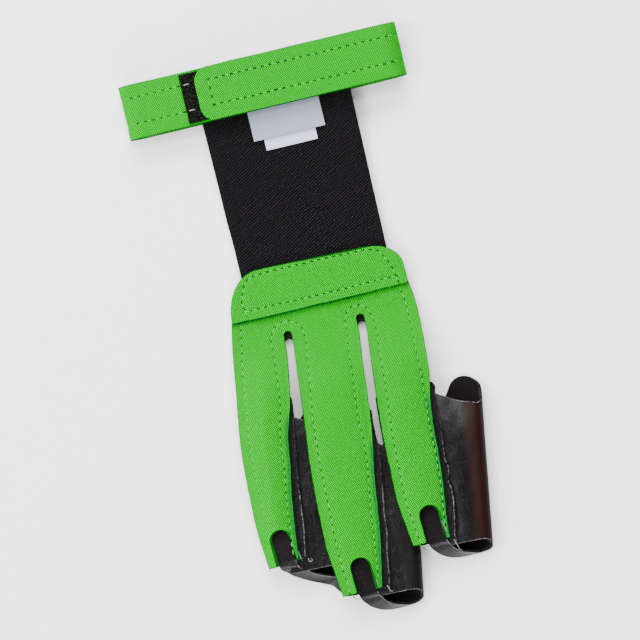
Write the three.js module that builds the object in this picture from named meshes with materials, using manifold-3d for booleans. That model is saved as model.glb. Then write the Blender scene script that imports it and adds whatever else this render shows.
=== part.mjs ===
// Archery glove for three fingers, lying palm down with the back of the hand up.
// X runs across the hand, +Y towards the wrist strap, +Z up from the surface that it lies on.
// The knuckle line is y = 0 while the pieces are made. Then the whole is moved, so that the origin
// is under the middle of the glove, on the surface. All lengths are in millimetres.
import * as THREE from 'three';
import { mergeVertices } from 'three/addons/utils/BufferGeometryUtils.js';
import Module from 'manifold-3d';

const wasm = await Module();
wasm.setup();

// Walls and clearances
const clothWall = 1.3; // green cloth of the finger back and the yoke
const strapWall = 1.3; // green strap
const elasticWall = 1.2; // black back panel
const liningWall = 0.9; // black layer under the finger back
const leatherWall = 1.2; // finger stalls
const patchWall = 0.7; // hook patch
const labelWall = 0.35; // both labels
const layerGap = 0.3; // between pieces that lie on each other

// Hand
const handWidth = 70; // across the knuckles
const fingerLength = 109; // knuckle line to the end of the middle strip
const backTop = 12; // finger back's upper edge, hidden under the yoke
const restHeight = 1.9; // underside of the finger back and the panel where they lie low
const crown = 1.0; // how far a strip arches between its two seams
const riseEnd = 29; // distance below the knuckle line where the strips lie on the stalls
const cutMargin = 1; // how far a layer reaches past its outline before it is cut
const sideMargin = 2; // the same at the hand's two sides
const slotMargin = 0.3; // the same inside a slot, as a share of the slot's width

// Slots and notches
const slotTop = 5; // distance of the slots' tops below the knuckle line
const slotRadius = 1.45;
const liningSlotTop = 7.9; // the lining's own slots start lower, so it shows in the slots' tops
const liningSlotInset = 0.3; // elsewhere it stays this far back from the slots' edges
const liningSideInset = 0.8; // and this far from the hand's two sides
const liningEnd = 28; // where the lining stops, just before the stalls
const notchWidth = 7.4;
const notchLegs = { left: 0.9, right: 1.12 }; // the notch widens to this share of its half width

// Finger stalls
const stallLength = 57.5; // along the back of a stall
const foldHeight = 8; // outer height at the fold
const crestHeight = 8; // outer height of the leather where the strip is sewn to it
const crestSag = 0.4; // how far the leather over the finger sags between fold and seam
const seamInset = 3.8; // seam row's distance from the edge of the cloth
const trimEnd = { from: 0.15, to: 0.28 }; // where seamTrim fades out, as shares of the way round
const slantEnd = { from: 0.5, to: 0.62 }; // the same for slant
const slantMiddle = 1.45; // where slant changes nothing, in notchWidth to the right of the notch
const turnGap = 0.5; // least length of leather under the seam before it turns down
const lowTurnShare = 0.45; // height of the first finger's turn, as a share of its seam height
const lowSeamHeight = 4.8; // top of the leather at the first finger's outer seam
const flangeWidth = 2.4; // raw seam edge that shows beside the cloth
const flangeWall = 0.9;
const flangeSink = 0.15; // how deep the raw edge is pressed into the leather under it
const flangeTuck = 0.8; // how far it goes back under the cloth, as a share of seamInset
const flangeStart = 0.35; // its width at the wrist end, as a share of flangeWidth
const flangeGrow = 0.35; // share of its length over which it widens
const flangeWaves = 4;
const waveShare = 0.12; // how much the waves change its width
const tabWall = 1.1;
const seamSlack = 0.1; // extra room under a seam that lies over the next finger's stall

// Strap
const strapWidth = 20.5;
const strapDistance = 89.1; // knuckle line to the strap's middle line
const strapLeft = -54.8; // left fold
const strapRight = 52.9; // right fold
const strapHiddenEnd = 31; // end of the under layer, below the tab
const tabEnd = -26.1;
const tabCorner = 5.6;
const wristGap = 4.8; // height inside the flattened loop
const patchLeft = -31.5;
const patchRight = -12;
const patchWidth = 18.9;

// Back panel and labels
const panelLeft = -27.1;
const panelRight = 31.0;
const panelTop = 97; // hidden under the strap
const panelBottom = 12.4; // hidden under the yoke
const panelTaper = 0.9; // how far each of its sides comes in towards the yoke
const dipTop = 79; // the panel comes down from the strap between these two
const dipBottom = 44;
const labelTop = 88;
const largeLabel = { left: -9.35, right: 18.3, bottom: 67.4 };
const smallLabel = { left: -5.5, right: 14.4, bottom: 63.3 };

// Yoke
const yokeTop = 20;
const yokeBottom = 2.4;
const yokeBow = 0.5;
const yokeInset = 0.3; // its lower corners stay this far inside the finger back's edges
const yokeCorner = { across: 11.5, along: 17 };

// Numbers of facets
const arcSteps = 8;
const edgeSteps = 12;
const cornerSteps = 6;
const handRows = 26;
const liningRows = 10; // as many of handRows as reach past liningEnd
const stallRows = 7;
const stallSteps = [1, 4, 4, 8, 8, 5]; // on each part of a stall's section
const flangeRows = 10;
const tabRowCount = 24;
const ribbonColumns = 2;
const strapSteps = [1, 10, 1, 12, 1]; // on each part of the strap's path
const panelRows = 18;
const labelRows = 10;
const yokeFacets = { across: 10, along: 6 };
const jointNudge = 1e-9; // keeps a place on a path just past the joint of two curves

// Edges of the three strips. at is a share of fingerLength below the knuckle line, and the
// others are shares of handWidth. The middle strip lies between the two slots.
const stripEdges = [
  { at: -0.12, outerA: -0.442, slotA: -0.222, slotB: -0.178, slotC: 0.180, slotD: 0.224, outerB: 0.467 },
  { at: 0.0, outerA: -0.492, slotA: -0.223, slotB: -0.178, slotC: 0.180, slotD: 0.223, outerB: 0.509 },
  { at: 0.1, outerA: -0.521, slotA: -0.225, slotB: -0.184, slotC: 0.180, slotD: 0.221, outerB: 0.516 },
  { at: 0.2, outerA: -0.541, slotA: -0.246, slotB: -0.200, slotC: 0.161, slotD: 0.205, outerB: 0.508 },
  { at: 0.3, outerA: -0.566, slotA: -0.277, slotB: -0.214, slotC: 0.147, slotD: 0.191, outerB: 0.494 },
  { at: 0.4, outerA: -0.588, slotA: -0.324, slotB: -0.230, slotC: 0.132, slotD: 0.178, outerB: 0.466 },
  { at: 0.5, outerA: -0.599, slotA: -0.348, slotB: -0.247, slotC: 0.109, slotD: 0.169, outerB: 0.450 },
  { at: 0.6, outerA: -0.605, slotA: -0.379, slotB: -0.258, slotC: 0.079, slotD: 0.165, outerB: 0.442 },
  { at: 0.7, outerA: -0.606, slotA: -0.400, slotB: -0.264, slotC: 0.058, slotD: 0.162, outerB: 0.427 },
  { at: 0.8, outerA: -0.594, slotA: -0.419, slotB: -0.268, slotC: 0.036, slotD: 0.178, outerB: 0.406 },
  { at: 0.9, outerA: -0.581, slotA: -0.440, slotB: -0.254, slotC: 0.006, slotD: 0.196, outerB: 0.398 },
  { at: 1.03, outerA: -0.581, slotA: -0.453, slotB: -0.234, slotC: -0.034, slotD: 0.206, outerB: 0.393 },
];

// One row for each finger. Places along the finger are shares of fingerLength below the knuckle
// line, places across are shares of handWidth: notch and tip of the strip, start of the stall, and
// the fold's place at the stall's two ends. seamTrim is how much sooner the sewn side ends at the
// tip, rawFrom and rawTo are the ends of the raw seam edge, all three as shares of stallLength.
// sewnBack is how far the sewn edge stays inside the cloth's edge, and slant is how far the palm
// side's tip runs down across the stall, in mm for each mm.
const fingers = [
  { name: 'left', from: 'outerA', to: 'slotA', notchX: -0.495, notchTop: 0.709, tip: 0.835,
    start: 0.344, foldStart: 0.036, foldEnd: -0.105, seamTrim: 0.04, rawFrom: -0.14,
    rawTo: 0.91, sewnBack: 0.5, slant: 0.42 },
  { name: 'middle', from: 'slotB', to: 'slotC', notchX: -0.111, notchTop: 0.866, tip: 0.985,
    start: 0.488, foldStart: 0.336, foldEnd: 0.196, seamTrim: 0.01, rawFrom: -0.21,
    rawTo: 0.985, sewnBack: 0.5, slant: 0 },
  { name: 'right', from: 'slotD', to: 'outerB', notchX: 0.316, notchTop: 0.745, tip: 0.872,
    start: 0.374, foldStart: 0.757, foldEnd: 0.623, seamTrim: 0.01, rawFrom: -0.08,
    rawTo: 0.985, sewnBack: -0.4, slant: 0 },
];

// Ends of a stall's wall. at is the share of the way round the wall, from the sewn edge at the
// left, under the finger, round the fold and back over the top. wrist and tip are shares of
// stallLength from the stall's start: the tongue rises at the wrist end, and the palm side
// reaches past the back at the tip.
const stallEnds = [
  { at: 0.00, wrist: -0.065, tip: 0.952 },
  { at: 0.06, wrist: -0.050, tip: 0.961 },
  { at: 0.15, wrist: 0.020, tip: 0.970 },
  { at: 0.22, wrist: 0.045, tip: 1.015 },
  { at: 0.30, wrist: 0.060, tip: 1.065 },
  { at: 0.36, wrist: 0.060, tip: 1.088 },
  { at: 0.43, wrist: 0.050, tip: 1.096 },
  { at: 0.46, wrist: 0.020, tip: 1.096 },
  { at: 0.48, wrist: -0.012, tip: 1.096 },
  { at: 0.51, wrist: -0.048, tip: 1.096 },
  { at: 0.55, wrist: -0.065, tip: 1.093 },
  { at: 0.59, wrist: -0.052, tip: 1.083 },
  { at: 0.63, wrist: -0.018, tip: 1.062 },
  { at: 0.66, wrist: 0.028, tip: 1.042 },
  { at: 0.69, wrist: 0.088, tip: 1.016 },
  { at: 0.73, wrist: 0.114, tip: 1.004 },
  { at: 0.79, wrist: 0.088, tip: 1.001 },
  { at: 0.85, wrist: 0.055, tip: 0.999 },
  { at: 0.92, wrist: 0.006, tip: 0.997 },
  { at: 1.00, wrist: -0.045, tip: 0.995 },
];

// The tab that comes up from the palm side's tip and goes under the notch. Each row gives its two
// edges: x and y are shares of notchWidth from the notch's top, and z is a share of crestHeight.
const tabRows = [
  { ax: -0.48, ay: 0.34, az: 1.16, bx: 0.46, by: 0.34, bz: 1.06 },
  { ax: -0.48, ay: -0.50, az: 1.18, bx: 0.46, by: -0.50, bz: 1.07 },
  { ax: -0.46, ay: -1.20, az: 1.18, bx: 0.50, by: -1.15, bz: 1.07 },
  { ax: -0.38, ay: -1.95, az: 1.12, bx: 0.58, by: -1.88, bz: 1.08 },
  { ax: -0.14, ay: -2.35, az: 0.86, bx: 0.74, by: -2.20, bz: 0.98 },
  { ax: 0.19, ay: -2.66, az: 0.52, bx: 0.96, by: -2.48, bz: 0.78 },
  { ax: 0.60, ay: -2.88, az: 0.25, bx: 1.26, by: -2.68, bz: 0.66 },
  { ax: 1.04, ay: -2.98, az: 0.10, bx: 1.60, by: -2.81, bz: 0.55 },
  { ax: 1.62, ay: -3.00, az: 0.07, bx: 2.05, by: -2.92, bz: 0.44 },
  { ax: 2.18, ay: -2.96, az: 0.07, bx: 2.45, by: -2.89, bz: 0.36 },
  { ax: 2.56, ay: -2.80, az: 0.10, bx: 2.72, by: -2.75, bz: 0.33 },
];

// The first finger's tab leans further over towards the palm
const leaningTabRows = [
  { ax: -0.48, ay: 0.34, az: 0.90, bx: 0.46, by: 0.34, bz: 1.06 },
  { ax: -0.48, ay: -0.50, az: 0.92, bx: 0.46, by: -0.50, bz: 1.07 },
  { ax: -0.46, ay: -1.20, az: 0.92, bx: 0.50, by: -1.15, bz: 1.07 },
  { ax: -0.36, ay: -1.90, az: 0.87, bx: 0.58, by: -1.92, bz: 1.06 },
  { ax: -0.13, ay: -2.13, az: 0.67, bx: 0.74, by: -2.11, bz: 0.96 },
  { ax: 0.19, ay: -2.43, az: 0.41, bx: 0.96, by: -2.28, bz: 0.82 },
  { ax: 0.60, ay: -2.70, az: 0.20, bx: 1.26, by: -2.51, bz: 0.70 },
  { ax: 1.04, ay: -2.95, az: 0.09, bx: 1.60, by: -2.70, bz: 0.60 },
  { ax: 1.60, ay: -3.21, az: 0.08, bx: 2.05, by: -2.89, bz: 0.50 },
  { ax: 2.03, ay: -3.45, az: 0.08, bx: 2.45, by: -3.03, bz: 0.42 },
  { ax: 2.40, ay: -3.90, az: 0.08, bx: 2.72, by: -3.20, bz: 0.36 },
];

// Heights that follow from the walls
const foldRadius = (foldHeight - leatherWall) / 2;
const overFlange = crestHeight - flangeSink + flangeWall + layerGap;
const highSeam = foldHeight + layerGap + leatherWall / 2 + seamSlack;
const overHighSeam = highSeam + leatherWall / 2 + layerGap;
const overLowSeam = lowSeamHeight + layerGap;
const panelUnder = strapWall + wristGap;
const smallLabelUnder = panelUnder + elasticWall + layerGap;
const largeLabelUnder = smallLabelUnder + labelWall + layerGap;
const lowerStrap = largeLabelUnder + labelWall + layerGap + strapWall / 2;
const patchUnder = lowerStrap + strapWall / 2 + layerGap;
const upperStrap = patchUnder + patchWall + layerGap + strapWall / 2;

const { lerp, clamp, smoothstep } = THREE.MathUtils;

// Smooth curve through one column of a table
function column(rows, key) {
  const at = rows.map((row) => row.at);
  const curve = new THREE.CubicInterpolant(at, rows.map((row) => row[key]), 1, new Float32Array(1));
  return (place) => curve.evaluate(clamp(place, at[0], at[at.length - 1]))[0];
}

const edgeShares = {};
for (const key of ['outerA', 'slotA', 'slotB', 'slotC', 'slotD', 'outerB']) {
  edgeShares[key] = column(stripEdges, key);
}
const wristShare = column(stallEnds, 'wrist');
const tipShare = column(stallEnds, 'tip');

// x of a strip's edge at a place y along the hand
function edgeAt(key, y) {
  return edgeShares[key](-y / fingerLength) * handWidth;
}

// Bent sheet with a closed surface. place(u, v, side) gives a point: u and v run from 0 to 1 over
// the sheet, and side is -1 on its lower face and 1 on its upper face.
function sheet(columns, rows, place) {
  const box = new THREE.BoxGeometry(1, 1, 1, columns, 1, rows);
  box.deleteAttribute('normal');
  box.deleteAttribute('uv');
  const geometry = mergeVertices(box, 1e-4);
  const position = geometry.getAttribute('position');
  for (let i = 0; i < position.count; i += 1) {
    const u = position.getX(i) + 0.5;
    const v = 0.5 - position.getZ(i);
    const point = place(u, v, position.getY(i) * 2);
    position.setXYZ(i, point.x, point.y, point.z);
  }
  return outward(geometry);
}

// Turns a closed geometry's faces over where they point in
function outward(geometry) {
  const position = geometry.getAttribute('position');
  const index = geometry.getIndex();
  const a = new THREE.Vector3();
  const b = new THREE.Vector3();
  const c = new THREE.Vector3();
  let volume = 0;
  for (let i = 0; i < index.count; i += 3) {
    a.fromBufferAttribute(position, index.getX(i));
    b.fromBufferAttribute(position, index.getX(i + 1));
    c.fromBufferAttribute(position, index.getX(i + 2));
    volume += a.dot(b.cross(c));
  }
  if (volume < 0) {
    for (let i = 0; i < index.count; i += 3) {
      const first = index.getX(i);
      index.setX(i, index.getX(i + 1));
      index.setX(i + 1, first);
    }
  }
  return geometry;
}

function solid(geometry) {
  const source = geometry.clone();
  source.deleteAttribute('normal');
  source.deleteAttribute('uv');
  const merged = mergeVertices(source, 1e-4);
  return new wasm.Manifold(new wasm.Mesh({
    numProp: 3,
    vertProperties: new Float32Array(merged.getAttribute('position').array),
    triVerts: new Uint32Array(merged.getIndex().array),
  }));
}

function geometryOf(manifold) {
  const mesh = manifold.getMesh();
  const geometry = new THREE.BufferGeometry();
  geometry.setAttribute('position', new THREE.BufferAttribute(mesh.vertProperties, 3));
  geometry.setIndex(new THREE.BufferAttribute(mesh.triVerts, 1));
  return geometry;
}

// Straight-sided block of an outline, tall enough to cut every layer
function cutter(points) {
  const block = new THREE.ExtrudeGeometry(new THREE.Shape(points), {
    depth: 4 * upperStrap,
    bevelEnabled: false,
  });
  return solid(block.translate(0, 0, -upperStrap));
}

function arc(x, y, radius, from, to) {
  return Array.from({ length: arcSteps + 1 }, (_, i) => {
    const angle = lerp(from, to, i / arcSteps);
    return new THREE.Vector2(x + radius * Math.cos(angle), y + radius * Math.sin(angle));
  });
}

// Points down or up one strip edge
function edgeRun(key, fromY, toY, shift) {
  return Array.from({ length: edgeSteps + 1 }, (_, i) => {
    const y = lerp(fromY, toY, i / edgeSteps);
    return new THREE.Vector2(edgeAt(key, y) + shift, y);
  });
}

// Underside of the panel, and of the finger back where it lies low
function panelHeight(y) {
  return lerp(restHeight, panelUnder, smoothstep(y, dipBottom, dipTop));
}

// Underside of a strip at the share s across it: from its left seam up and over to its right one
function stripHeight(index, s, y) {
  const across = index === 0
    ? lerp(overLowSeam, overFlange, clamp(2 * s, 0, 1))
    : lerp(overHighSeam, overFlange, clamp(s, 0, 1));
  const full = across + crown * Math.sin(Math.PI * clamp(s, 0, 1));
  return lerp(restHeight, full, smoothstep(-y, 0, riseEnd));
}

// Columns across the hand: six on each strip, the outer ones of them past its edges
const stripShares = [0, 0.15, 0.38, 0.62, 0.85, 1];
function handColumn(k, y) {
  const index = Math.floor(k / stripShares.length);
  const place = k % stripShares.length;
  const finger = fingers[index];
  const left = edgeAt(finger.from, y);
  const right = edgeAt(finger.to, y);
  const share = stripShares[place];
  let x = lerp(left, right, share);
  if (place === 0) {
    x -= index === 0 ? sideMargin : slotMargin * (left - edgeAt(fingers[index - 1].to, y));
  }
  if (place === stripShares.length - 1) {
    const next = fingers[index + 1];
    x += next ? slotMargin * (edgeAt(next.from, y) - right) : sideMargin;
  }
  return { x, height: stripHeight(index, share, y) };
}

// Layer that follows the hand. Its rows have the same length in every layer, so that the facets of
// two layers lie parallel.
function handSheet(rows, drop, wall) {
  const last = fingers.length * stripShares.length - 1;
  const top = backTop + cutMargin;
  const bottom = top - (rows * (top + fingerLength + cutMargin)) / handRows;
  return solid(sheet(last, rows, (u, v, side) => {
    const y = lerp(top, bottom, v);
    const { x, height } = handColumn(Math.round(u * last), y);
    return new THREE.Vector3(x, y, height - drop + (side > 0 ? wall : 0));
  }));
}

// Outline of the hand with its two slots. tip(finger) gives the points of a strip's lower end.
function handOutline(top, sideInset, slotStart, slotInset, tip, endOf) {
  const points = [];
  fingers.forEach((finger, index) => {
    const end = endOf(finger);
    const first = index === 0;
    const last = index === fingers.length - 1;
    const radius = slotRadius + slotInset;
    const start = -slotStart - radius;
    points.push(...edgeRun(finger.from, first ? top : start, end, first ? sideInset : slotInset));
    points.push(...tip(finger));
    points.push(...edgeRun(finger.to, end, last ? top : start, last ? -sideInset : -slotInset));
    if (!last) {
      const centre = (edgeAt(finger.to, start) + edgeAt(fingers[index + 1].from, start)) / 2;
      points.push(...arc(centre, start, radius, Math.PI, 0));
    }
  });
  return points;
}

function fingerBack() {
  const end = (finger) => -finger.tip * fingerLength;
  const notch = (finger) => {
    const x = finger.notchX * handWidth;
    const top = -finger.notchTop * fingerLength;
    const half = notchWidth / 2;
    return [
      new THREE.Vector2(x - notchLegs.left * half, end(finger)),
      ...arc(x, top - half, half, Math.PI, 0),
      new THREE.Vector2(x + notchLegs.right * half, end(finger)),
    ];
  };
  const layer = handSheet(handRows, 0, clothWall);
  return geometryOf(layer.intersect(cutter(handOutline(backTop, 0, slotTop, 0, notch, end))));
}

function fingerLining() {
  const end = () => -liningEnd;
  const drop = liningWall + layerGap;
  const layer = handSheet(liningRows, drop, liningWall);
  const points = handOutline(backTop, liningSideInset, liningSlotTop, liningSlotInset, () => [], end);
  return geometryOf(layer.intersect(cutter(points)));
}

// x of a stall's fold at a place y along the hand
function foldAt(index, y) {
  const finger = fingers[index];
  const start = -finger.start * fingerLength;
  return lerp(finger.foldStart, finger.foldEnd, (start - y) / stallLength) * handWidth;
}

function line(x1, y1, x2, y2) {
  return new THREE.LineCurve(new THREE.Vector2(x1, y1), new THREE.Vector2(x2, y2));
}

// Arc that runs the way its angles go
function turn(x, y, radius, from, to) {
  return new THREE.EllipseCurve(x, y, radius, radius, from, to, to < from);
}

function track(curves) {
  const path = new THREE.CurvePath();
  curves.forEach((curve) => path.add(curve));
  return path;
}

// Middle line of a stall's wall, seen along the finger: x is across and y is up
function stallSection(index, y) {
  const finger = fingers[index];
  const edge = edgeAt(finger.from, y);
  const fold = foldAt(index, y) - foldHeight / 2;
  const seam = edge + seamInset;
  const low = index === 0;
  const seamHeight = low ? lowSeamHeight - leatherWall / 2 : highSeam;
  const middle = low ? lowTurnShare * seamHeight : foldHeight / 2;
  const over = low ? seam : Math.max(foldAt(index - 1, y) - foldHeight / 2, seam + turnGap);
  const outer = seamHeight - middle;
  const inner = middle - leatherWall / 2;
  const sewn = edgeAt(finger.to, y) - seamInset;
  const crest = crestHeight - leatherWall / 2;
  return track([
    line(edge + finger.sewnBack, seamHeight, over, seamHeight),
    turn(over, middle, outer, Math.PI / 2, 0),
    turn(over + outer + inner, middle, inner, Math.PI, 1.5 * Math.PI),
    line(over + outer + inner, leatherWall / 2, fold, leatherWall / 2),
    turn(fold, foldHeight / 2, foldRadius, -Math.PI / 2, Math.PI / 2),
    new THREE.QuadraticBezierCurve(
      new THREE.Vector2(fold, foldHeight - leatherWall / 2),
      new THREE.Vector2(lerp(fold, sewn, 0.5), crest - crestSag),
      new THREE.Vector2(sewn, crest),
    ),
  ]);
}

// Share of a path's length at step k, where steps gives the number of steps on each of its curves
function stepShare(path, steps, k) {
  const ends = path.getCurveLengths();
  let curve = 0;
  let step = k;
  while (step > steps[curve]) {
    step -= steps[curve];
    curve += 1;
  }
  const start = curve === 0 ? 0 : ends[curve - 1];
  const share = lerp(start, ends[curve], step / steps[curve]) / ends[ends.length - 1];
  return Math.min(share + jointNudge, 1);
}

// Point at a distance to the left of a path, at a share of its length
function beside(path, share, distance) {
  const point = path.getPoint(share);
  const tangent = path.getTangent(share);
  return new THREE.Vector2(point.x - tangent.y * distance, point.y + tangent.x * distance);
}

// Leather wall of a stall: its section runs along the finger between the two ends of stallEnds
function stallWall(index) {
  const finger = fingers[index];
  const start = -finger.start * fingerLength;
  const across = stallSteps.reduce((sum, count) => sum + count);
  const middleX = finger.notchX * handWidth + slantMiddle * notchWidth;
  return sheet(across, stallRows, (u, v, side) => {
    const k = Math.round(u * across);
    const rough = stallSection(index, start - stallLength * v);
    const share = stepShare(rough, stallSteps, k);
    const palm = 1 - smoothstep(share, slantEnd.from, slantEnd.to);
    const slope = finger.slant * (rough.getPoint(share).x - middleX) * palm;
    const trim = finger.seamTrim * (1 - smoothstep(share, trimEnd.from, trimEnd.to));
    const wrist = start - stallLength * wristShare(share);
    const tip = start - stallLength * (tipShare(share) - trim) - slope;
    const y = lerp(wrist, tip, v);
    const path = stallSection(index, y);
    const point = beside(path, stepShare(path, stallSteps, k), (-side * leatherWall) / 2);
    return new THREE.Vector3(point.x, y, point.y);
  });
}

// Raw seam edge on the leather, from under the strip's right edge out beside it
function stallFlange(index) {
  const finger = fingers[index];
  const start = -finger.start * fingerLength;
  const middle = crestHeight - flangeSink + flangeWall / 2;
  return sheet(ribbonColumns, flangeRows, (u, v, side) => {
    const y = start - stallLength * lerp(finger.rawFrom, finger.rawTo, v);
    const wave = 1 + waveShare * Math.sin(2 * Math.PI * flangeWaves * v);
    const reach = lerp(flangeStart, 1, smoothstep(v, 0, flangeGrow)) * wave;
    const edge = edgeAt(finger.to, y);
    const x = lerp(edge - flangeTuck * seamInset, edge + flangeWidth * reach, u);
    return new THREE.Vector3(x, y, middle + (side * flangeWall) / 2);
  });
}

// Tab from the palm side's tip up into the notch: a ribbon between its two edges
function stallTab(index) {
  const finger = fingers[index];
  const x = finger.notchX * handWidth;
  const top = -finger.notchTop * fingerLength;
  const rows = index === 0 ? leaningTabRows : tabRows;
  const edges = ['a', 'b'].map((name) => new THREE.CatmullRomCurve3(rows.map((row) => (
    new THREE.Vector3(
      x + row[`${name}x`] * notchWidth,
      top + row[`${name}y`] * notchWidth,
      row[`${name}z`] * crestHeight,
    )
  ))));
  return sheet(ribbonColumns, tabRowCount, (u, v, side) => {
    const first = edges[0].getPoint(v);
    const second = edges[1].getPoint(v);
    const along = edges[0].getTangent(v).add(edges[1].getTangent(v));
    const normal = second.clone().sub(first).cross(along).normalize();
    return first.lerp(second, u).addScaledVector(normal, (side * tabWall) / 2);
  });
}

function stall(index) {
  const wall = solid(stallWall(index));
  return geometryOf(wall.add(solid(stallFlange(index))).add(solid(stallTab(index))));
}

// Strap seen from its edge: under layer, left fold, back on the surface, right fold, tab on top
function wristStrap() {
  const back = strapWall / 2;
  const leftRadius = (lowerStrap - back) / 2;
  const rightRadius = (upperStrap - back) / 2;
  const left = strapLeft + strapWall / 2 + leftRadius;
  const right = strapRight - strapWall / 2 - rightRadius;
  const path = track([
    line(strapHiddenEnd, lowerStrap, left, lowerStrap),
    turn(left, back + leftRadius, leftRadius, Math.PI / 2, 1.5 * Math.PI),
    line(left, back, right, back),
    turn(right, back + rightRadius, rightRadius, -Math.PI / 2, Math.PI / 2),
    line(right, upperStrap, tabEnd, upperStrap),
  ]);
  const length = path.getLength();
  const count = strapSteps.reduce((sum, value) => sum + value);
  const places = Array.from({ length: count }, (_, k) => stepShare(path, strapSteps, k));
  for (let i = 0; i <= cornerSteps; i += 1) {
    const angle = (i / cornerSteps) * (Math.PI / 2);
    places.push(1 - (tabCorner * (1 - Math.sin(angle))) / length);
  }
  return sheet(places.length - 1, 1, (u, v, side) => {
    const place = places[Math.round(u * (places.length - 1))];
    const into = clamp(tabCorner - (1 - place) * length, 0, tabCorner);
    const reach = strapWidth / 2 - tabCorner + Math.sqrt(tabCorner ** 2 - into ** 2);
    const point = beside(path, place, (-side * strapWall) / 2);
    return new THREE.Vector3(point.x, strapDistance + lerp(-reach, reach, v), point.y);
  });
}

function hookPatch() {
  return sheet(1, 1, (u, v, side) => new THREE.Vector3(
    lerp(patchLeft, patchRight, u),
    strapDistance + (v - 0.5) * patchWidth,
    patchUnder + (side > 0 ? patchWall : 0),
  ));
}

// Strip that follows the panel's line, with its underside at lift above the panel's own
function panelStrip(size, rows, lift, wall) {
  return sheet(1, rows, (u, v, side) => {
    const x = lerp(size.left + size.taper * v, size.right - size.taper * v, u);
    const y = lerp(size.top, size.bottom, v);
    return new THREE.Vector3(x, y, panelHeight(y) + lift + (side > 0 ? wall : 0));
  });
}

function backPanel() {
  const size = {
    top: panelTop, bottom: panelBottom, left: panelLeft, right: panelRight, taper: panelTaper,
  };
  return panelStrip(size, panelRows, 0, elasticWall);
}

function label(size, under) {
  return panelStrip({ top: labelTop, taper: 0, ...size }, labelRows, under - panelUnder, labelWall);
}

// Outline of the yoke: straight lower edge, sides leaning in, quarter ellipses at the top corners
function yoke() {
  const left = edgeAt('outerA', yokeBottom) + yokeInset;
  const right = edgeAt('outerB', yokeBottom) - yokeInset;
  const quarter = (sign) => Array.from({ length: edgeSteps + 1 }, (_, i) => {
    const angle = (i / edgeSteps) * (Math.PI / 2);
    const side = sign < 0 ? left : right;
    return new THREE.Vector2(side - sign * yokeCorner.across * (1 - Math.cos(angle)),
      yokeTop - yokeCorner.along * (1 - Math.sin(angle)));
  });
  const points = [new THREE.Vector2(left, yokeBottom), ...quarter(-1), ...quarter(1).reverse(),
    new THREE.Vector2(right, yokeBottom)];
  const under = restHeight + clothWall + layerGap;
  const layer = solid(sheet(yokeFacets.across, yokeFacets.along, (u, v, side) => {
    const x = lerp(left - sideMargin, right + sideMargin, u);
    const y = lerp(yokeTop + cutMargin, yokeBottom - cutMargin, v);
    const bow = yokeBow * Math.sin(Math.PI * u);
    return new THREE.Vector3(x, y, under + bow + (side > 0 ? clothWall : 0));
  }));
  return geometryOf(layer.intersect(cutter(points)));
}

function piece(name, geometry, color, roughness, metalness = 0) {
  const material = new THREE.MeshStandardMaterial({ color, roughness, metalness });
  const mesh = new THREE.Mesh(geometry, material);
  mesh.name = name;
  return mesh;
}

const glove = new THREE.Group();
glove.add(piece('wrist_strap', wristStrap(), 0x35df38, 0.75));
glove.add(piece('hook_patch', hookPatch(), 0x0b0b0c, 0.95));
glove.add(piece('back_panel', backPanel(), 0x141315, 0.9));
glove.add(piece('label_large', label(largeLabel, largeLabelUnder), 0xd9dadc, 0.45));
glove.add(piece('label_small', label(smallLabel, smallLabelUnder), 0xf1f3f6, 0.6));
glove.add(piece('yoke', yoke(), 0x38e03a, 0.75));
glove.add(piece('finger_back', fingerBack(), 0x35dd37, 0.75));
glove.add(piece('finger_lining', fingerLining(), 0x0e0d0f, 0.9));
fingers.forEach((finger, index) => {
  glove.add(piece(`stall_${finger.name}`, stall(index), 0x151113, 0.35));
});

// The origin is under the middle of the glove, on the surface
const box = new THREE.Box3().setFromObject(glove);
glove.position.set(-(box.min.x + box.max.x) / 2, -(box.min.y + box.max.y) / 2, -box.min.z);

export default glove;
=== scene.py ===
import bpy
import numpy as np
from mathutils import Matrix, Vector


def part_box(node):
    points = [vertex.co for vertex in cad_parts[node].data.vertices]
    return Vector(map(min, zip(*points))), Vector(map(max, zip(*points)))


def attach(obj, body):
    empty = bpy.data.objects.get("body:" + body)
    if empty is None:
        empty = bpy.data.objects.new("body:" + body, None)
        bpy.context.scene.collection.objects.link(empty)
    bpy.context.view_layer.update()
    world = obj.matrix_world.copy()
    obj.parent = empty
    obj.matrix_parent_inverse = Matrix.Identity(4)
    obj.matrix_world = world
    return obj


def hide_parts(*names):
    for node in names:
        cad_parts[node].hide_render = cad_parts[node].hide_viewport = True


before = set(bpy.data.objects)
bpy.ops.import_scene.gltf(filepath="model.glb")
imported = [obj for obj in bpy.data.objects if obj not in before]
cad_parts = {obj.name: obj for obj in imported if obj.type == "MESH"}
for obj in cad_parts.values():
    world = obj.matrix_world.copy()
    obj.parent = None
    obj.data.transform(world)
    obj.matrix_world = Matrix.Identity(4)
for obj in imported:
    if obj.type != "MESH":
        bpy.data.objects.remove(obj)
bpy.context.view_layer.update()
mm = 0.001

# The knuckle line's place in the frame, from the strap that is 54.8 mm to the left of it
strapLow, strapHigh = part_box("wrist_strap")
glove = {
    "strapLeft": -54.8, "strapTop": 99.35, "handWidth": 70.0, "fingerLength": 109.0,
}
originX = strapLow.x / mm - glove["strapLeft"]
originY = strapHigh.y / mm - glove["strapTop"]


# Camera, floor and light

view = {
    "centre": (-0.89, -3.70), "width": 243.2, "roll": -13.5, "distance": 1500.0, "sensor": 36.0,
}


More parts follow.
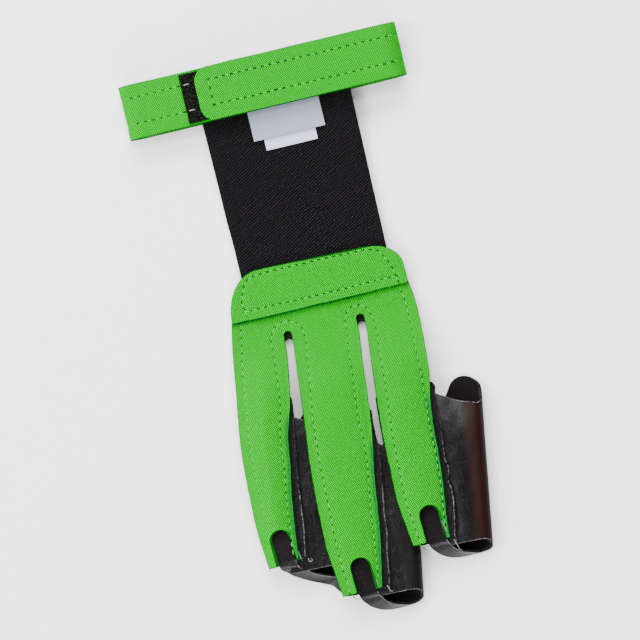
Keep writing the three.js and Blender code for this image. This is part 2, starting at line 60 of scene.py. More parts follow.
def aimCamera():
    camera = bpy.data.cameras.new("camera")
    holder = bpy.data.objects.new("camera", camera)
    bpy.context.collection.objects.link(holder)
    camera.sensor_width = view["sensor"]
    camera.lens = view["sensor"] * view["distance"] / view["width"]
    camera.clip_end = 20
    x, y = view["centre"]
    holder.location = ((x + originX) * mm, (y + originY) * mm, view["distance"] * mm)
    holder.rotation_euler = (0, 0, np.radians(view["roll"]))
    bpy.context.scene.camera = holder


def softLight(name, place, target, size, power):
    lamp = bpy.data.lights.new(name, "AREA")
    lamp.shape = "RECTANGLE"
    lamp.size, lamp.size_y = size
    lamp.energy = power
    holder = bpy.data.objects.new(name, lamp)
    bpy.context.collection.objects.link(holder)
    holder.location = place
    away = np.array(place) - np.array(target)
    yaw = np.arctan2(away[0], -away[1])
    tilt = np.arctan2(np.hypot(away[0], away[1]), away[2])
    holder.rotation_euler = (tilt, 0, yaw)


lamps = [
    ("wristSide", (0.05, 1.05, 0.85), (0, 0, 0), (1.2, 0.6), 46.0),
    ("wristHigh", (0.10, 0.50, 1.15), (0, 0, 0), (0.5, 0.16), 7.5),
    ("leftSide", (-1.05, 0.15, 0.95), (0, 0, 0), (0.6, 1.2), 36.0),
    ("tipSide", (-0.30, -1.05, 0.72), (0, -0.05, 0), (1.0, 0.4), 26.0),
]


# Curves through tables, and noise

def smoothColumn(at, values):
    # Cubic pieces through the points of a table, with the slope at each from its neighbours
    at, values = np.asarray(at, float), np.asarray(values, float)
    slopes = np.gradient(values, at)

    def read(place):
        t = np.clip(place, at[0], at[-1])
        k = np.clip(np.searchsorted(at, t, side="right") - 1, 0, len(at) - 2)
        step = at[k + 1] - at[k]
        s = (t - at[k]) / step
        rise = values[k + 1] - values[k]
        first = slopes[k] * step
        last = slopes[k + 1] * step
        return values[k] + s * (first + s * (3 * rise - 2 * first - last + s * (first + last - 2 * rise)))
    return read


def ease(low, high, x):
    # Smooth step: 0 below low, 1 above high, 3 t^2 - 2 t^3 between
    t = np.clip((x - low) / (high - low), 0, 1)
    return t * t * (3 - 2 * t)


def ripple(x, y, wave, seed, count=7):
    # Sum of plane waves about wave long, in random directions, between about -1 and 1
    draw = np.random.default_rng(seed)
    total = 0 * x
    for angle, phase, stretch in zip(draw.uniform(0, np.pi, count), draw.uniform(0, 6.3, count),
                                     draw.uniform(0.6, 1.6, count)):
        along = x * np.cos(angle) + y * np.sin(angle)
        total = total + np.sin(2 * np.pi * along / (wave * stretch) + phase)
    return total / np.sqrt(2 * count) / 1.2


# Meshes

def makeMesh(name, points, faces, flat=None, shade=True):
    # points are millimetres in the glove's axes, faces index them, flat is one pair for each point
    mesh = bpy.data.meshes.new(name)
    placed = (np.asarray(points, float) + (originX, originY, 0)) * mm
    mesh.from_pydata(placed.tolist(), [], np.asarray(faces).tolist())
    if flat is not None:
        loops = np.empty(len(mesh.loops), int)
        mesh.loops.foreach_get("vertex_index", loops)
        layer = mesh.uv_layers.new(name="cut")
        layer.data.foreach_set("uv", (np.asarray(flat, float)[loops] * mm).ravel())
    mesh.polygons.foreach_set("use_smooth", [shade] * len(mesh.polygons))
    mesh.update()
    piece = bpy.data.objects.new(name, mesh)
    bpy.context.collection.objects.link(piece)
    return piece


def paint(piece, name, values):
    # Stores one number for each point
    layer = piece.data.attributes.new(name, "FLOAT", "POINT")
    layer.data.foreach_set("value", np.asarray(values, float).ravel())


def gridFaces(rows, columns):
    # Quads of a grid whose points are stored row by row
    first = (np.arange(rows - 1)[:, None] * columns + np.arange(columns - 1)[None, :]).ravel()
    return np.stack([first, first + 1, first + columns + 1, first + columns], axis=1)


def thicken(piece, wall, bevel=0.0, rim=0, inner=0):
    # Wall on both sides of the sheet, with soft edges where it was cut
    solid = piece.modifiers.new("wall", "SOLIDIFY")
    solid.thickness = wall * mm
    solid.offset = 0
    solid.use_even_offset = False
    solid.material_offset_rim = rim
    solid.material_offset = inner
    if bevel:
        soft = piece.modifiers.new("edge", "BEVEL")
        soft.width = bevel * mm
        soft.segments = 2
        soft.limit_method = "ANGLE"
        soft.angle_limit = np.radians(55)
    return piece


def insideOutline(x, y, outline):
    # Counts how many sides of the outline lie to the right of each point: odd is inside
    inside = np.zeros(x.shape, bool)
    ends = np.roll(outline, -1, axis=0)
    for (ax, ay), (bx, by) in zip(outline, ends):
        if ay != by:
            crosses = (ay > y) != (by > y)
            inside ^= crosses & (x < (bx - ax) * (y - ay) / (by - ay) + ax)
    return inside


def nearestOn(points, line, closed=True):
    # Nearest point of a line to each point, and the distance to it
    starts = line if closed else line[:-1]
    ends = np.roll(line, -1, axis=0) if closed else line[1:]
    best = np.full(len(points), np.inf)
    found = np.array(points, float)
    for a, b in zip(starts, ends):
        side = b - a
        share = np.clip(((points - a) @ side) / max(side @ side, 1e-12), 0, 1)
        spot = a + share[:, None] * side
        distance = np.hypot(*(points - spot).T)
        closer = distance < best
        best[closer] = distance[closer]
        found[closer] = spot[closer]
    return found, best


def cutSheet(name, outline, height, cell):
    # Sheet cut to an outline: a square grid keeps the cells whose middle is inside, its outer
    # points move onto the outline, their neighbours even out, and height gives z
    low, high = outline.min(0) - cell, outline.max(0) + cell
    xs = np.arange(low[0], high[0] + cell, cell)
    ys = np.arange(low[1], high[1] + cell, cell)
    gx, gy = np.meshgrid(xs, ys)
    points = np.stack([gx.ravel(), gy.ravel()], axis=1)
    faces = gridFaces(len(ys), len(xs))
    middle = points[faces].mean(axis=1)
    faces = faces[insideOutline(middle[:, 0], middle[:, 1], outline)]
    used, faces = np.unique(faces, return_inverse=True)
    faces = faces.reshape(-1, 4)
    points = points[used]
    sides = np.sort(np.concatenate([faces[:, [k, (k + 1) % 4]] for k in range(4)]), axis=1)
    edges, seen = np.unique(sides, axis=0, return_counts=True)
    rim = np.zeros(len(points), bool)
    rim[edges[seen == 1].ravel()] = True
    points[rim] = nearestOn(points[rim], outline)[0]
    for _ in range(3):
        total = np.zeros_like(points)
        count = np.zeros(len(points))
        for a, b in ((0, 1), (1, 0)):
            np.add.at(total, edges[:, a], points[edges[:, b]])
            np.add.at(count, edges[:, a], 1)
        even = total / count[:, None]
        points[~rim] = 0.5 * points[~rim] + 0.5 * even[~rim]
    z = height(points[:, 0], points[:, 1])
    piece = makeMesh(name, np.column_stack([points, z]), faces, flat=points)
    fromEdge = nearestOn(points, outline)[1]
    paint(piece, "fromEdge", fromEdge)
    return piece


def resample(line, step):
    # Points a step apart along a line
    line = np.asarray(line, float)
    lengths = np.hypot(*np.diff(line, axis=0).T)
    along = np.concatenate([[0], np.cumsum(lengths)])
    count = max(2, int(round(along[-1] / step)) + 1)
    at = np.linspace(0, along[-1], count)
    return np.stack([np.interp(at, along, line[:, k]) for k in range(line.shape[1])], axis=1)


# Finishes: a small wrapper lets shader values be written as sums and products

class Wire:
    def __init__(self, finish, socket):
        self.finish = finish
        self.socket = socket

    def maths(self, operation, *others):
        sockets = {0: self}
        sockets.update({k + 1: other for k, other in enumerate(others)})
        return self.finish.put("ShaderNodeMath", {"operation": operation}, sockets)

    def __add__(self, other):
        return self.maths("ADD", other)

    def __radd__(self, other):
        return self.maths("ADD", other)

    def __mul__(self, other):
        return self.maths("MULTIPLY", other)

    def __rmul__(self, other):
        return self.maths("MULTIPLY", other)

    def __sub__(self, other):
        return self.maths("SUBTRACT", other)

    def __rsub__(self, other):
        return self.maths("MULTIPLY", -1.0).maths("ADD", other)

    def __truediv__(self, other):
        return self.maths("DIVIDE", other)

    def __pow__(self, other):
        return self.maths("POWER", other)

    def limit(self):
        held = self.maths("MAXIMUM", 0.0)
        return held.maths("MINIMUM", 1.0)

    def wave(self, turns):
        # Cosine with so many turns in a unit
        return self.maths("MULTIPLY", 2 * np.pi * turns).maths("COSINE")


class Finish:
    def __init__(self, name, rough, sheen=0.0, coat=0.0, specular=0.5):
        self.material = bpy.data.materials.new(name)
        self.material.use_nodes = True
        self.tree = self.material.node_tree
        self.shader = next(n for n in self.tree.nodes if n.type == "BSDF_PRINCIPLED")
        self.shader.inputs["Roughness"].default_value = rough
        self.shader.inputs["Sheen Weight"].default_value = sheen
        self.shader.inputs["Sheen Roughness"].default_value = 0.5
        self.shader.inputs["Coat Weight"].default_value = coat
        self.shader.inputs["Coat Roughness"].default_value = 0.25
        self.shader.inputs["Specular IOR Level"].default_value = specular

    def put(self, kind, settings=None, sockets=None, out=0):
        node = self.tree.nodes.new(kind)
        for key, value in (settings or {}).items():
            if key == "stops":
                while len(node.color_ramp.elements) < len(value):
                    node.color_ramp.elements.new(0.5)
                for stop, (place, tone) in zip(node.color_ramp.elements, value):
                    stop.position = place
                    stop.color = (*tone, 1)
            else:
                setattr(node, key, value)
        for key, value in (sockets or {}).items():
            if isinstance(key, int):
                socket = node.inputs[key]
            else:
                socket = next(s for s in node.inputs if key in (s.identifier, s.name) and s.enabled)
            if isinstance(value, Wire):
                self.tree.links.new(value.socket, socket)
            else:
                socket.default_value = value
        socket = node.outputs[out] if isinstance(out, int) else next(
            s for s in node.outputs if out in (s.identifier, s.name) and s.enabled)
        return Wire(self, socket)

    def split(self, vector):
        node = self.put("ShaderNodeSeparateXYZ", sockets={0: vector}).socket.node
        return [Wire(self, socket) for socket in node.outputs]

    def cutPlace(self):
        # Place on the flat cut, in millimetres
        flat = self.put("ShaderNodeUVMap", {"uv_map": "cut"})
        return self.put("ShaderNodeVectorMath", {"operation": "SCALE"}, {0: flat, "Scale": 1 / mm})

    def place(self):
        return self.put("ShaderNodeTexCoord", out="Object")

    def number(self, name):
        return self.put("ShaderNodeAttribute", {"attribute_name": name}, out="Fac")

    def noise(self, vector, scale, detail=3.0, rough=0.5):
        return self.put("ShaderNodeTexNoise", sockets={
            "Vector": vector, "Scale": scale, "Detail": detail, "Roughness": rough})

    def stretched(self, vector, scale):
        return self.put("ShaderNodeMapping", sockets={"Vector": vector, "Scale": scale})

    def blend(self, share, first, second):
        def tone(value):
            return value if isinstance(value, Wire) else (*value, 1)
        return self.put("ShaderNodeMix", {"data_type": "RGBA"}, {
            "Factor_Float": share, "A_Color": tone(first), "B_Color": tone(second)}, out="Result_Color")

    def wear(self, color=None, rough=None, coat=None):
        for name, value in (("Base Color", color), ("Roughness", rough), ("Coat Weight", coat)):
            if isinstance(value, Wire):
                self.tree.links.new(value.socket, self.shader.inputs[name])
            elif value is not None:
                self.shader.inputs[name].default_value = (*value, 1) if name == "Base Color" else value

    def partly(self, share, tone, rough, specular):
        # Second surface mixed over the first one by a share
        other = self.tree.nodes.new("ShaderNodeBsdfPrincipled")
        self.tree.links.new(tone.socket, other.inputs["Base Color"])
        other.inputs["Roughness"].default_value = rough
        other.inputs["Specular IOR Level"].default_value = specular
        mixed = self.put("ShaderNodeMixShader", sockets={0: share})
        self.tree.links.new(self.shader.outputs[0], mixed.socket.node.inputs[1])
        self.tree.links.new(other.outputs[0], mixed.socket.node.inputs[2])
        end = next(n for n in self.tree.nodes if n.type == "OUTPUT_MATERIAL")
        self.tree.links.new(mixed.socket, end.inputs["Surface"])

    def relief(self, height, depth):
        # depth is how many millimetres the height's 0 to 1 stands for
        bump = self.put("ShaderNodeBump", sockets={"Height": height, "Distance": depth * mm, "Strength": 1.0})
        self.tree.links.new(bump.socket, self.shader.inputs["Normal"])
        return self


# Green tones. Painted light among them: shade between the yarn crossings and highlight on them (low to high), shade
# where the cloth turns down into seams and under the yoke, and shade in the stitch holes with their under thread
clothTones = {
    "low": (0.0, 0.022, 0.001), "mid": (0.0, 0.20, 0.006), "high": (0.0, 0.76, 0.009),
    "fray": (0.0, 0.30, 0.012), "cut": (0.0, 0.020, 0.001), "holeShade": (0.0, 0.016, 0.001),
    "thread": (0.004, 0.22, 0.010), "threadPale": (0.035, 0.45, 0.050), "deep": (0.004, 0.085, 0.016),
    "rimLow": (0.0, 0.020, 0.001), "rimHigh": (0.0, 0.14, 0.007),
}


def greenCloth(name, turned=False):
    # Pack cloth: yarn crossings in staggered rows 0.76 by 1.0 mm, raised by a bump, with a painted highlight on each
    # crossing and painted shade between them, in a slightly uneven tone
    finish = Finish(name, 0.8, specular=0.01)
    place = finish.cutPlace()
    across, along, _ = finish.split(place)
    wobble = finish.noise(place, 0.12, 1.0) * 0.5
    dots = (across + wobble).wave(1 / 0.76) * (along + wobble).wave(1 / 1.0)
    grain = finish.noise(place, 1.3, 2.0)
    patch = finish.noise(place, 0.045, 3.0)
    crossingRiseAndHighlight = (dots * 0.5 + 0.5) ** 2.0
    # Painted highlight on the yarn crossings and painted shade between them: the low tone between, the high tone on
    # top
    tone = finish.blend((crossingRiseAndHighlight * 1.35 + grain * 0.34 - 0.27).limit(), clothTones["low"], clothTones["high"])
    tone = finish.blend((patch * 0.12).limit(), tone, clothTones["mid"])
    # Painted shade where the cloth turns down into the seams, and the painted shadow under the yoke
    tone = finish.blend((finish.number("deep") * (grain * 2.4 - 0.3)).limit(), tone, clothTones["deep"])
    fromEdge = finish.number("fromEdge") + grain * 0.25
    tone = finish.blend((1.0 - fromEdge / 0.9).limit() * 0.45, tone, clothTones["fray"])
    tone = finish.blend(((0.40 - fromEdge) * 7.0).limit(), tone, clothTones["cut"])
    finish.wear(color=tone, rough=0.75 + grain * 0.12)
    finish.relief(crossingRiseAndHighlight + grain * 0.3, 0.25)
    return finish.material


def threadFinish(name, low, high):
    # Twisted thread: a fine bumpy surface and a slightly uneven tone
    finish = Finish(name, 0.7, specular=0.05)
    place = finish.place()
    tone = finish.noise(place, 260.0, 2.0)
    finish.wear(color=finish.blend(tone, low, high))
    finish.relief(finish.noise(place, 2600.0, 2.0), 0.06)
    return finish.material


def elasticFinish():
    # Woven elastic: slanted ribs 1.05 mm apart, each broken into yarns 0.6 mm long
    finish = Finish("blackElastic", 0.85, specular=0.05)
    place = finish.cutPlace()
    across, along, _ = finish.split(place)
    wobble = finish.noise(place, 0.7, 2.0) * 0.9
    rib = (across * 0.55 - along + wobble).wave(1 / 1.05) * 0.5 + 0.5
    yarn = (across + along * 0.25 + wobble).wave(1 / 0.62) * 0.5 + 0.5
    grain = finish.noise(place, 2.4, 3.0, 0.6)
    weave = rib * 0.12 + rib * yarn * 0.88
    tone = finish.blend(((weave - 0.30) * (grain - 0.25) * 6.0).limit(), (0.0003, 0.0003, 0.0004), (0.031, 0.027, 0.032))
    finish.wear(color=tone, rough=0.8 + grain * 0.15)
    finish.relief(weave + grain * 0.3, 0.28)
    return finish.material


def leatherFinish():
    # Smooth black leather: fine grain, faint streaks along the finger, red-brown along the fold
    finish = Finish("blackLeather", 0.3, specular=0.2)
    place = finish.place()
    streak = finish.noise(finish.stretched(place, (2600.0, 160.0, 900.0)), 1.0, 4.0, 0.6)
    grain = finish.noise(place, 1500.0, 4.0, 0.6)
    broad = finish.noise(place, 60.0, 3.0)
    cracks = finish.put("ShaderNodeTexVoronoi", {"feature": "DISTANCE_TO_EDGE"},
                        {"Vector": place, "Scale": 850.0}, out="Distance")
    fold = finish.number("fold")
    speck = finish.noise(place, 3200.0, 3.0, 0.7)
    tone = finish.blend(((streak - 0.55) * 6.0).limit() * 0.6, (0.0006, 0.0005, 0.0006), (0.010, 0.0085, 0.010))
    tone = finish.blend(((speck - 0.60) * 14.0).limit() * (1.0 - fold), tone, (0.048, 0.045, 0.050))
    tone = finish.blend((fold * finish.number("red") * (broad * 0.6 + 0.7)).limit(), tone, (0.0062, 0.0009, 0.0005))
    line = ((finish.number("edgeWidth") - finish.number("fromEdge")) * 6.0).limit()
    pale = (line * finish.number("worn") * ((grain - 0.38) * 5.0).limit()).limit()
    tone = finish.blend(pale, tone, (0.20, 0.17, 0.185))
    finish.wear(color=tone, rough=0.24 + broad * 0.10 + streak * 0.06 + pale * 0.5 + fold * 0.12)
    finish.relief(grain * 0.7 + streak * 0.7 + speck * 0.5 + (cracks * 2.0).limit() * 0.25, 0.08)
    foldTone = finish.blend(finish.number("red"), (0.0036, 0.0030, 0.0033), (0.0085, 0.0019, 0.0011))
    finish.partly((fold * 0.85 - pale).limit(), foldTone, 0.6, 0.06)
    return finish.material


def suedeFinish():
    # Flesh side of the leather: matt, nearly black, with a short nap
    finish = Finish("leatherInside", 0.9, specular=0.03)
    place = finish.place()
    nap = finish.noise(place, 2200.0, 4.0, 0.65)
    broad = finish.noise(place, 140.0, 3.0)
    tone = finish.blend((nap * 0.7 + broad * 0.4 - 0.1).limit(), (0.0013, 0.0010, 0.0010), (0.0120, 0.0098, 0.0105))
    finish.wear(color=tone, rough=0.85 + nap * 0.1)
    finish.relief(nap, 0.09)
    return finish.material


def rawEdgeFinish():
    # Cut edge of the leather: pale fibres, broken up by dark ones
    finish = Finish("leatherEdge", 0.85, specular=0.05)
    place = finish.place()
    fibre = finish.noise(place, 900.0, 4.0, 0.7)
    patch = finish.noise(place, 170.0, 2.0)
    tone = finish.blend(((fibre - 0.42) * 4.0 * (patch + 0.4) * finish.number("pale")).limit(), (0.0035, 0.0028, 0.0030), (0.14, 0.130, 0.137))
    finish.wear(color=tone)
    finish.relief(fibre, 0.08)
    return finish.material


def labelFinish(name, tone, shade):
    # Satin ribbon: fine cross ribs 0.45 mm apart with a soft gloss
    finish = Finish(name, 0.42, specular=0.35)
    place = finish.cutPlace()
    across, along, _ = finish.split(place)
    rib = along.wave(1 / 0.45) * 0.5 + 0.5
    yarn = across.wave(1 / 0.5) * 0.5 + 0.5
    grain = finish.noise(place, 1.6, 3.0)
    finish.wear(color=finish.blend((rib * 0.4 + grain * 0.6).limit(), shade, tone), rough=0.38 + grain * 0.15)
    finish.relief(rib * 0.7 + yarn * 0.3 + grain * 0.3, 0.06)
    return finish.material


def hookFinish():
    finish = Finish("hookTape", 0.8, specular=0.03)
    place = finish.place()
    speck = finish.noise(place, 1500.0, 3.0, 0.7)
    finish.wear(color=finish.blend(((speck - 0.45) * 2.5).limit(), (0.0006, 0.0006, 0.0005), (0.024, 0.026, 0.021)))
    finish.relief(speck, 0.2)
    return finish.material


def floorFinish():
    finish = Finish("paleFloor", 0.9, specular=0.1)
    grain = finish.noise(finish.place(), 40.0, 2.0)
    finish.wear(color=finish.blend(grain, (0.86, 0.86, 0.86), (0.88, 0.88, 0.88)))
    return finish.material


clothRim = threadFinish("clothRim", clothTones["rimLow"], clothTones["rimHigh"])
backGreen = greenCloth("greenBack")
strapGreen = greenCloth("greenStrap")
greenThread = threadFinish("greenThread", clothTones["thread"], clothTones["threadPale"])
paleThread = threadFinish("paleThread", (0.055, 0.08, 0.06), (0.19, 0.23, 0.19))
darkThread = threadFinish("darkThread", (0.004, 0.0035, 0.004), (0.018, 0.017, 0.018))
# Tone of the dark pieces at the stitch holes: painted shade, with the under thread
stitchShade = threadFinish("stitchShade", clothTones["holeShade"], clothTones["holeShade"])
blackElastic = elasticFinish()
blackLeather = leatherFinish()
suede = suedeFinish()
rawEdge = rawEdgeFinish()
satinLabel = labelFinish("satinLabel", (0.255, 0.285, 0.36), (0.13, 0.145, 0.19))
plainLabel = labelFinish("plainLabel", (0.46, 0.48, 0.60), (0.34, 0.36, 0.48))
hookTape = hookFinish()
print("finishes ready")


def dress(piece, slot, *materials):
    for material in materials:
        piece.data.materials.append(material)
    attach(piece, "root")
    return piece


# The hand: strip edges as shares of the hand's width, at shares of the finger's length

edgePlaces = (-0.12, 0.0, 0.1, 0.2, 0.3, 0.4, 0.5, 0.6, 0.7, 0.8, 0.9, 1.03)
edgeTable = {
    "outerLeft": (-0.442, -0.492, -0.521, -0.541, -0.566, -0.588, -0.599, -0.605, -0.606, -0.594, -0.581, -0.581),
    "slotA": (-0.222, -0.223, -0.225, -0.246, -0.277, -0.324, -0.348, -0.379, -0.400, -0.419, -0.440, -0.453),
    "slotB": (-0.178, -0.178, -0.184, -0.200, -0.214, -0.230, -0.247, -0.258, -0.264, -0.268, -0.254, -0.234),
    "slotC": (0.180, 0.180, 0.180, 0.161, 0.147, 0.132, 0.109, 0.079, 0.058, 0.036, 0.006, -0.034),
    "slotD": (0.224, 0.223, 0.221, 0.205, 0.191, 0.178, 0.169, 0.165, 0.162, 0.178, 0.196, 0.206),
    "outerRight": (0.467, 0.509, 0.516, 0.508, 0.494, 0.466, 0.450, 0.442, 0.427, 0.406, 0.398, 0.393),
}
edgeCurves = {key: smoothColumn(edgePlaces, values) for key, values in edgeTable.items()}
strips = (("outerLeft", "slotA"), ("slotB", "slotC"), ("slotD", "outerRight"))


def edgeAt(key, y):
    return edgeCurves[key](-np.asarray(y, float) / glove["fingerLength"]) * glove["handWidth"]


layers = {
    "rest": 1.9, "cloth": 1.3, "gap": 0.3, "crown": 1.3, "riseStart": 5.0, "riseEnd": 30.0,
    "lowSeam": 5.1, "highSeam": 9.9, "overFlange": 9.05, "seamInset": 3.9, "pinch": 0.35,
}


def stripHeight(x, y):
    # Middle of the cloth: flat over the hand, then each strip arches between its two seams and
    # rises onto the stalls; the stitch rows' dips are added by the caller
    x, y = np.broadcast_arrays(np.asarray(x, float), np.asarray(y, float))
    edges = {key: edgeAt(key, y) for key in edgeTable}
    split = (edges["slotA"] + edges["slotB"]) / 2, (edges["slotC"] + edges["slotD"]) / 2
    index = (x > split[0]).astype(int) + (x > split[1])
    left = np.choose(index, [edges[a] for a, _ in strips])
    right = np.choose(index, [edges[b] for _, b in strips])
    s = np.clip((x - left) / (right - left), 0, 1)
    start = np.where(index == 0, layers["lowSeam"], layers["highSeam"])
    climb = np.where(index == 0, np.clip(2 * s, 0, 1), s)
    across = start + (layers["overFlange"] - start) * climb
    inset = layers["seamInset"] / (right - left)
    inner = np.clip((s - inset * 0.5) / (1 - inset), 0, 1)
    full = across + layers["crown"] * np.sin(np.pi * inner) ** 0.8
    rise = ease(layers["riseStart"], layers["riseEnd"], -y)
    low = layers["rest"] + 0.35 * np.sin(np.pi * np.clip((x + 34) / 70, 0, 1))
    wave = 0.18 * ripple(x, y, 26, 3) + 0.05 * ripple(x, y, 7, 4)
    return low + (full - low) * rise + wave * (0.4 + 0.6 * rise) + layers["cloth"] / 2


# Stitch rows over the hand, each a line of points in the glove's axes

stitch = {"pitch": 3.0, "length": 2.0, "thread": 0.24, "dip": 0.33, "dipWidth": 0.75}


def edgeRow(key, side, insets, fromY, toY):
    # Row beside a strip edge: insets give the distance to the edge at a few heights
    y = np.linspace(fromY, toY, 60)
    distance = smoothColumn([-a for a, _ in insets], [d for _, d in insets])(-y)
    return np.column_stack([edgeAt(key, y) + side * distance, y])


def slotArch(centre, half, height, base):
    angle = np.linspace(0, np.pi, 24)
    return np.column_stack([centre - half * np.cos(angle), base + height * np.sin(angle)])


handRows = {
    "outerLeft": edgeRow("outerLeft", 1, ((2.4, 3.6), (-5, 3.7), (-20, 3.1), (-35, 3.5), (-60, 3.7), (-74, 4.3)), 2.4, -74),
    "slotOne": np.concatenate([
        edgeRow("slotA", -1, ((-6, 5.2), (-15, 5.0), (-24, 4.3), (-34, 3.8), (-55, 2.6), (-88, 2.0)), -88, -6),
        slotArch(-14.2, 6.0, 4.8, -5.8),
        edgeRow("slotB", 1, ((-6, 4.8), (-15, 4.7), (-26, 4.2), (-40, 3.4), (-55, 3.9), (-85, 4.2), (-106, 3.0)), -6, -107),
    ]),
    "slotTwo": np.concatenate([
        edgeRow("slotC", -1, ((-6, 4.4), (-15, 4.9), (-28, 4.6), (-40, 5.0), (-60, 2.7), (-83, 2.8), (-104, 1.5)), -104, -6),
        slotArch(13.3, 4.7, 4.4, -5.8),
        edgeRow("slotD", 1, ((-6, 3.0), (-11, 3.5), (-20, 3.8), (-40, 4.1), (-55, 3.7), (-80, 3.3), (-95, 3.2)), -6, -95),
    ]),
    "outerRight": edgeRow("outerRight", -1, ((2.4, 4.1), (-8, 3.8), (-20, 4.0), (-30, 3.3), (-44, 1.9), (-60, 1.3), (-93, 1.1)), 2.4, -93),
}
handRows["slotOne"] = resample(handRows["slotOne"], 1.0)
handRows["slotTwo"] = resample(handRows["slotTwo"], 1.0)


def pinched(x, y, rows, depth):
    # Depth of the groove that a stitch row pulls into the cloth, with a deeper dimple at each hole
    points = np.stack([np.ravel(x), np.ravel(y)], axis=1)
    total = np.zeros(len(points))
    for row in rows:
        even = resample(row, 0.5)
        spot, distance = nearestOn(points, even, closed=False)
        holes = resample(row, stitch["pitch"])
        toHole = np.sqrt(((points[:, None, :] - holes[None, :, :]) ** 2).sum(2)).min(1)
        groove = np.exp(-(distance / stitch["dipWidth"]) ** 2)
        dimple = np.exp(-(toHole / 0.55) ** 2)
        total = np.maximum(total, depth * (0.65 * groove + 0.6 * dimple))
    return total.reshape(np.shape(x))


def capsules(name, middle, along, half, thread, heightOf, arch, draw):
    # Six-sided threads bent down at both ends: a tube round a short arc on the cloth's surface
    sides, rings = 6, 7
    share = np.linspace(-1, 1, rings)
    angle = np.linspace(0, 2 * np.pi, sides, endpoint=False)
    side = np.column_stack([-along[:, 1], along[:, 0]])
    flat = middle[:, None, :] + along[:, None, :] * (share[None, :, None] * half[:, None, None])
    top = heightOf(flat[..., 0], flat[..., 1])
    z = 0.5 * np.median(top, axis=1, keepdims=True) + 0.5 * top + arch[0] - arch[1] * np.abs(share) ** 3.5
    radius = thread * np.sqrt(np.clip(1.06 - share[None, :] ** 6, 0.05, 1))
    radius = radius * draw.uniform(0.92, 1.08, (len(middle), 1))
    across = radius[..., None] * np.cos(angle)
    points = np.empty((len(middle), rings, sides, 3))
    points[..., 0] = flat[..., None, 0] + across * side[:, None, None, 0]
    points[..., 1] = flat[..., None, 1] + across * side[:, None, None, 1]
    points[..., 2] = z[..., None] + radius[..., None] * np.sin(angle) * 0.8
    wrap = np.array([[r * sides + sides - 1, r * sides, (r + 1) * sides, (r + 1) * sides + sides - 1]
                     for r in range(rings - 1)])
    cells = np.concatenate([gridFaces(rings, sides), wrap])
    faces = cells[None] + (np.arange(len(middle)) * rings * sides)[:, None, None]
    return makeMesh(name, points.reshape(-1, 3), faces.reshape(-1, 4))


def stitchMesh(name, rows, heightOf, material, slot, seed=1, pitch=None, shade=1.0):
    # Threads between the holes of each row, and at each hole a dark flat piece: painted shade of the hole together
    # with the under thread
    draw = np.random.default_rng(seed)
    middles, alongs, spans = [], [], []
    for row in rows:
        holes = resample(row, pitch or stitch["pitch"])
        step = holes[1:] - holes[:-1]
        spans.append(np.hypot(*step.T))
        alongs.append(step / spans[-1][:, None])
        middles.append((holes[1:] + holes[:-1]) / 2)
    along, span = np.concatenate(alongs), np.concatenate(spans)
    middle = np.concatenate(middles) + draw.normal(0, 0.07, (len(span), 2))
    turn = draw.normal(0, 0.06, len(span))
    turned = np.column_stack([along[:, 0] * np.cos(turn) - along[:, 1] * np.sin(turn),
                              along[:, 0] * np.sin(turn) + along[:, 1] * np.cos(turn)])
    half = stitch["length"] / 2 * span / stitch["pitch"] * draw.uniform(0.92, 1.06, len(span))
    dress(capsules(name, middle, turned, half, stitch["thread"], heightOf, (0.10, 0.42), draw), slot, material)
    # Dark pieces at the holes: painted shade of the holes, with the under thread
    if shade:
        size = shade * draw.uniform(0.75, 1.2, len(span))
        holes = middle + along * span[:, None] / 2
        dress(capsules(name + "Holes", holes, along, 0.72 * size, 0.25, heightOf, (-0.02, 0.05), draw),
              slot, stitchShade)


def arcPoints(x, y, radius, start, end, count):
    angle = np.linspace(start, end, count)
    return np.column_stack([x + radius * np.cos(angle), y + radius * np.sin(angle)])


fingerTips = {
    # notch middle, notch top and strip tip for each finger, in millimetres
    "left": (-34.65, -77.3, -91.0), "middle": (-7.8, -94.4, -107.4), "right": (22.1, -81.2, -95.05),
}
cuts = {"notch": 7.4, "slotTop": -5.0, "slotRadius": 1.45, "backTop": 12.0, "liningTop": -7.9, "liningInset": 0.3, "liningEnd": -28.0}


def rough(line, depth, seed):
    # A cut edge wavers a little from side to side
    steps = np.gradient(line, axis=0)
    size = np.maximum(np.hypot(*steps.T), 1e-6)
    side = np.column_stack([steps[:, 1], -steps[:, 0]]) / size[:, None]
    along = np.cumsum(size)
    return line + side * (depth * ripple(along, 0 * along, 5.0, seed))[:, None]


def handOutline(top, slotTop, radius, inset, sideInset, tipOf):
    parts = []
    for k, (name, tip) in enumerate(fingerTips.items()):
        end, tipPoints = tipOf(name)
        start = slotTop - radius
        first, last = k == 0, k == 2
        y = np.linspace(top if first else start, end, 90)
        shift = sideInset if first else -inset
        parts.append(rough(np.column_stack([edgeAt(strips[k][0], y) + shift, y]), 0.10, 20 + k))
        parts.append(tipPoints)
        y = np.linspace(end, top if last else start, 90)
        shift = -sideInset if last else inset
        parts.append(rough(np.column_stack([edgeAt(strips[k][1], y) + shift, y]), 0.10, 30 + k))
        if not last:
            middle = (edgeAt(strips[k][1], start) + edgeAt(strips[k + 1][0], start)) / 2
            parts.append(arcPoints(float(middle), start, radius, np.pi, 0, 12)[1:-1])
    return np.concatenate([part for part in parts if len(part)])


def notchedTip(name):
    x, top, end = fingerTips[name]
    half = cuts["notch"] / 2
    arch = arcPoints(x, top - half, half, np.pi, 0, 18)
    return end, np.concatenate([[(x - 0.9 * half, end + 0.2)], arch, [(x + 1.12 * half, end + 0.1)]])


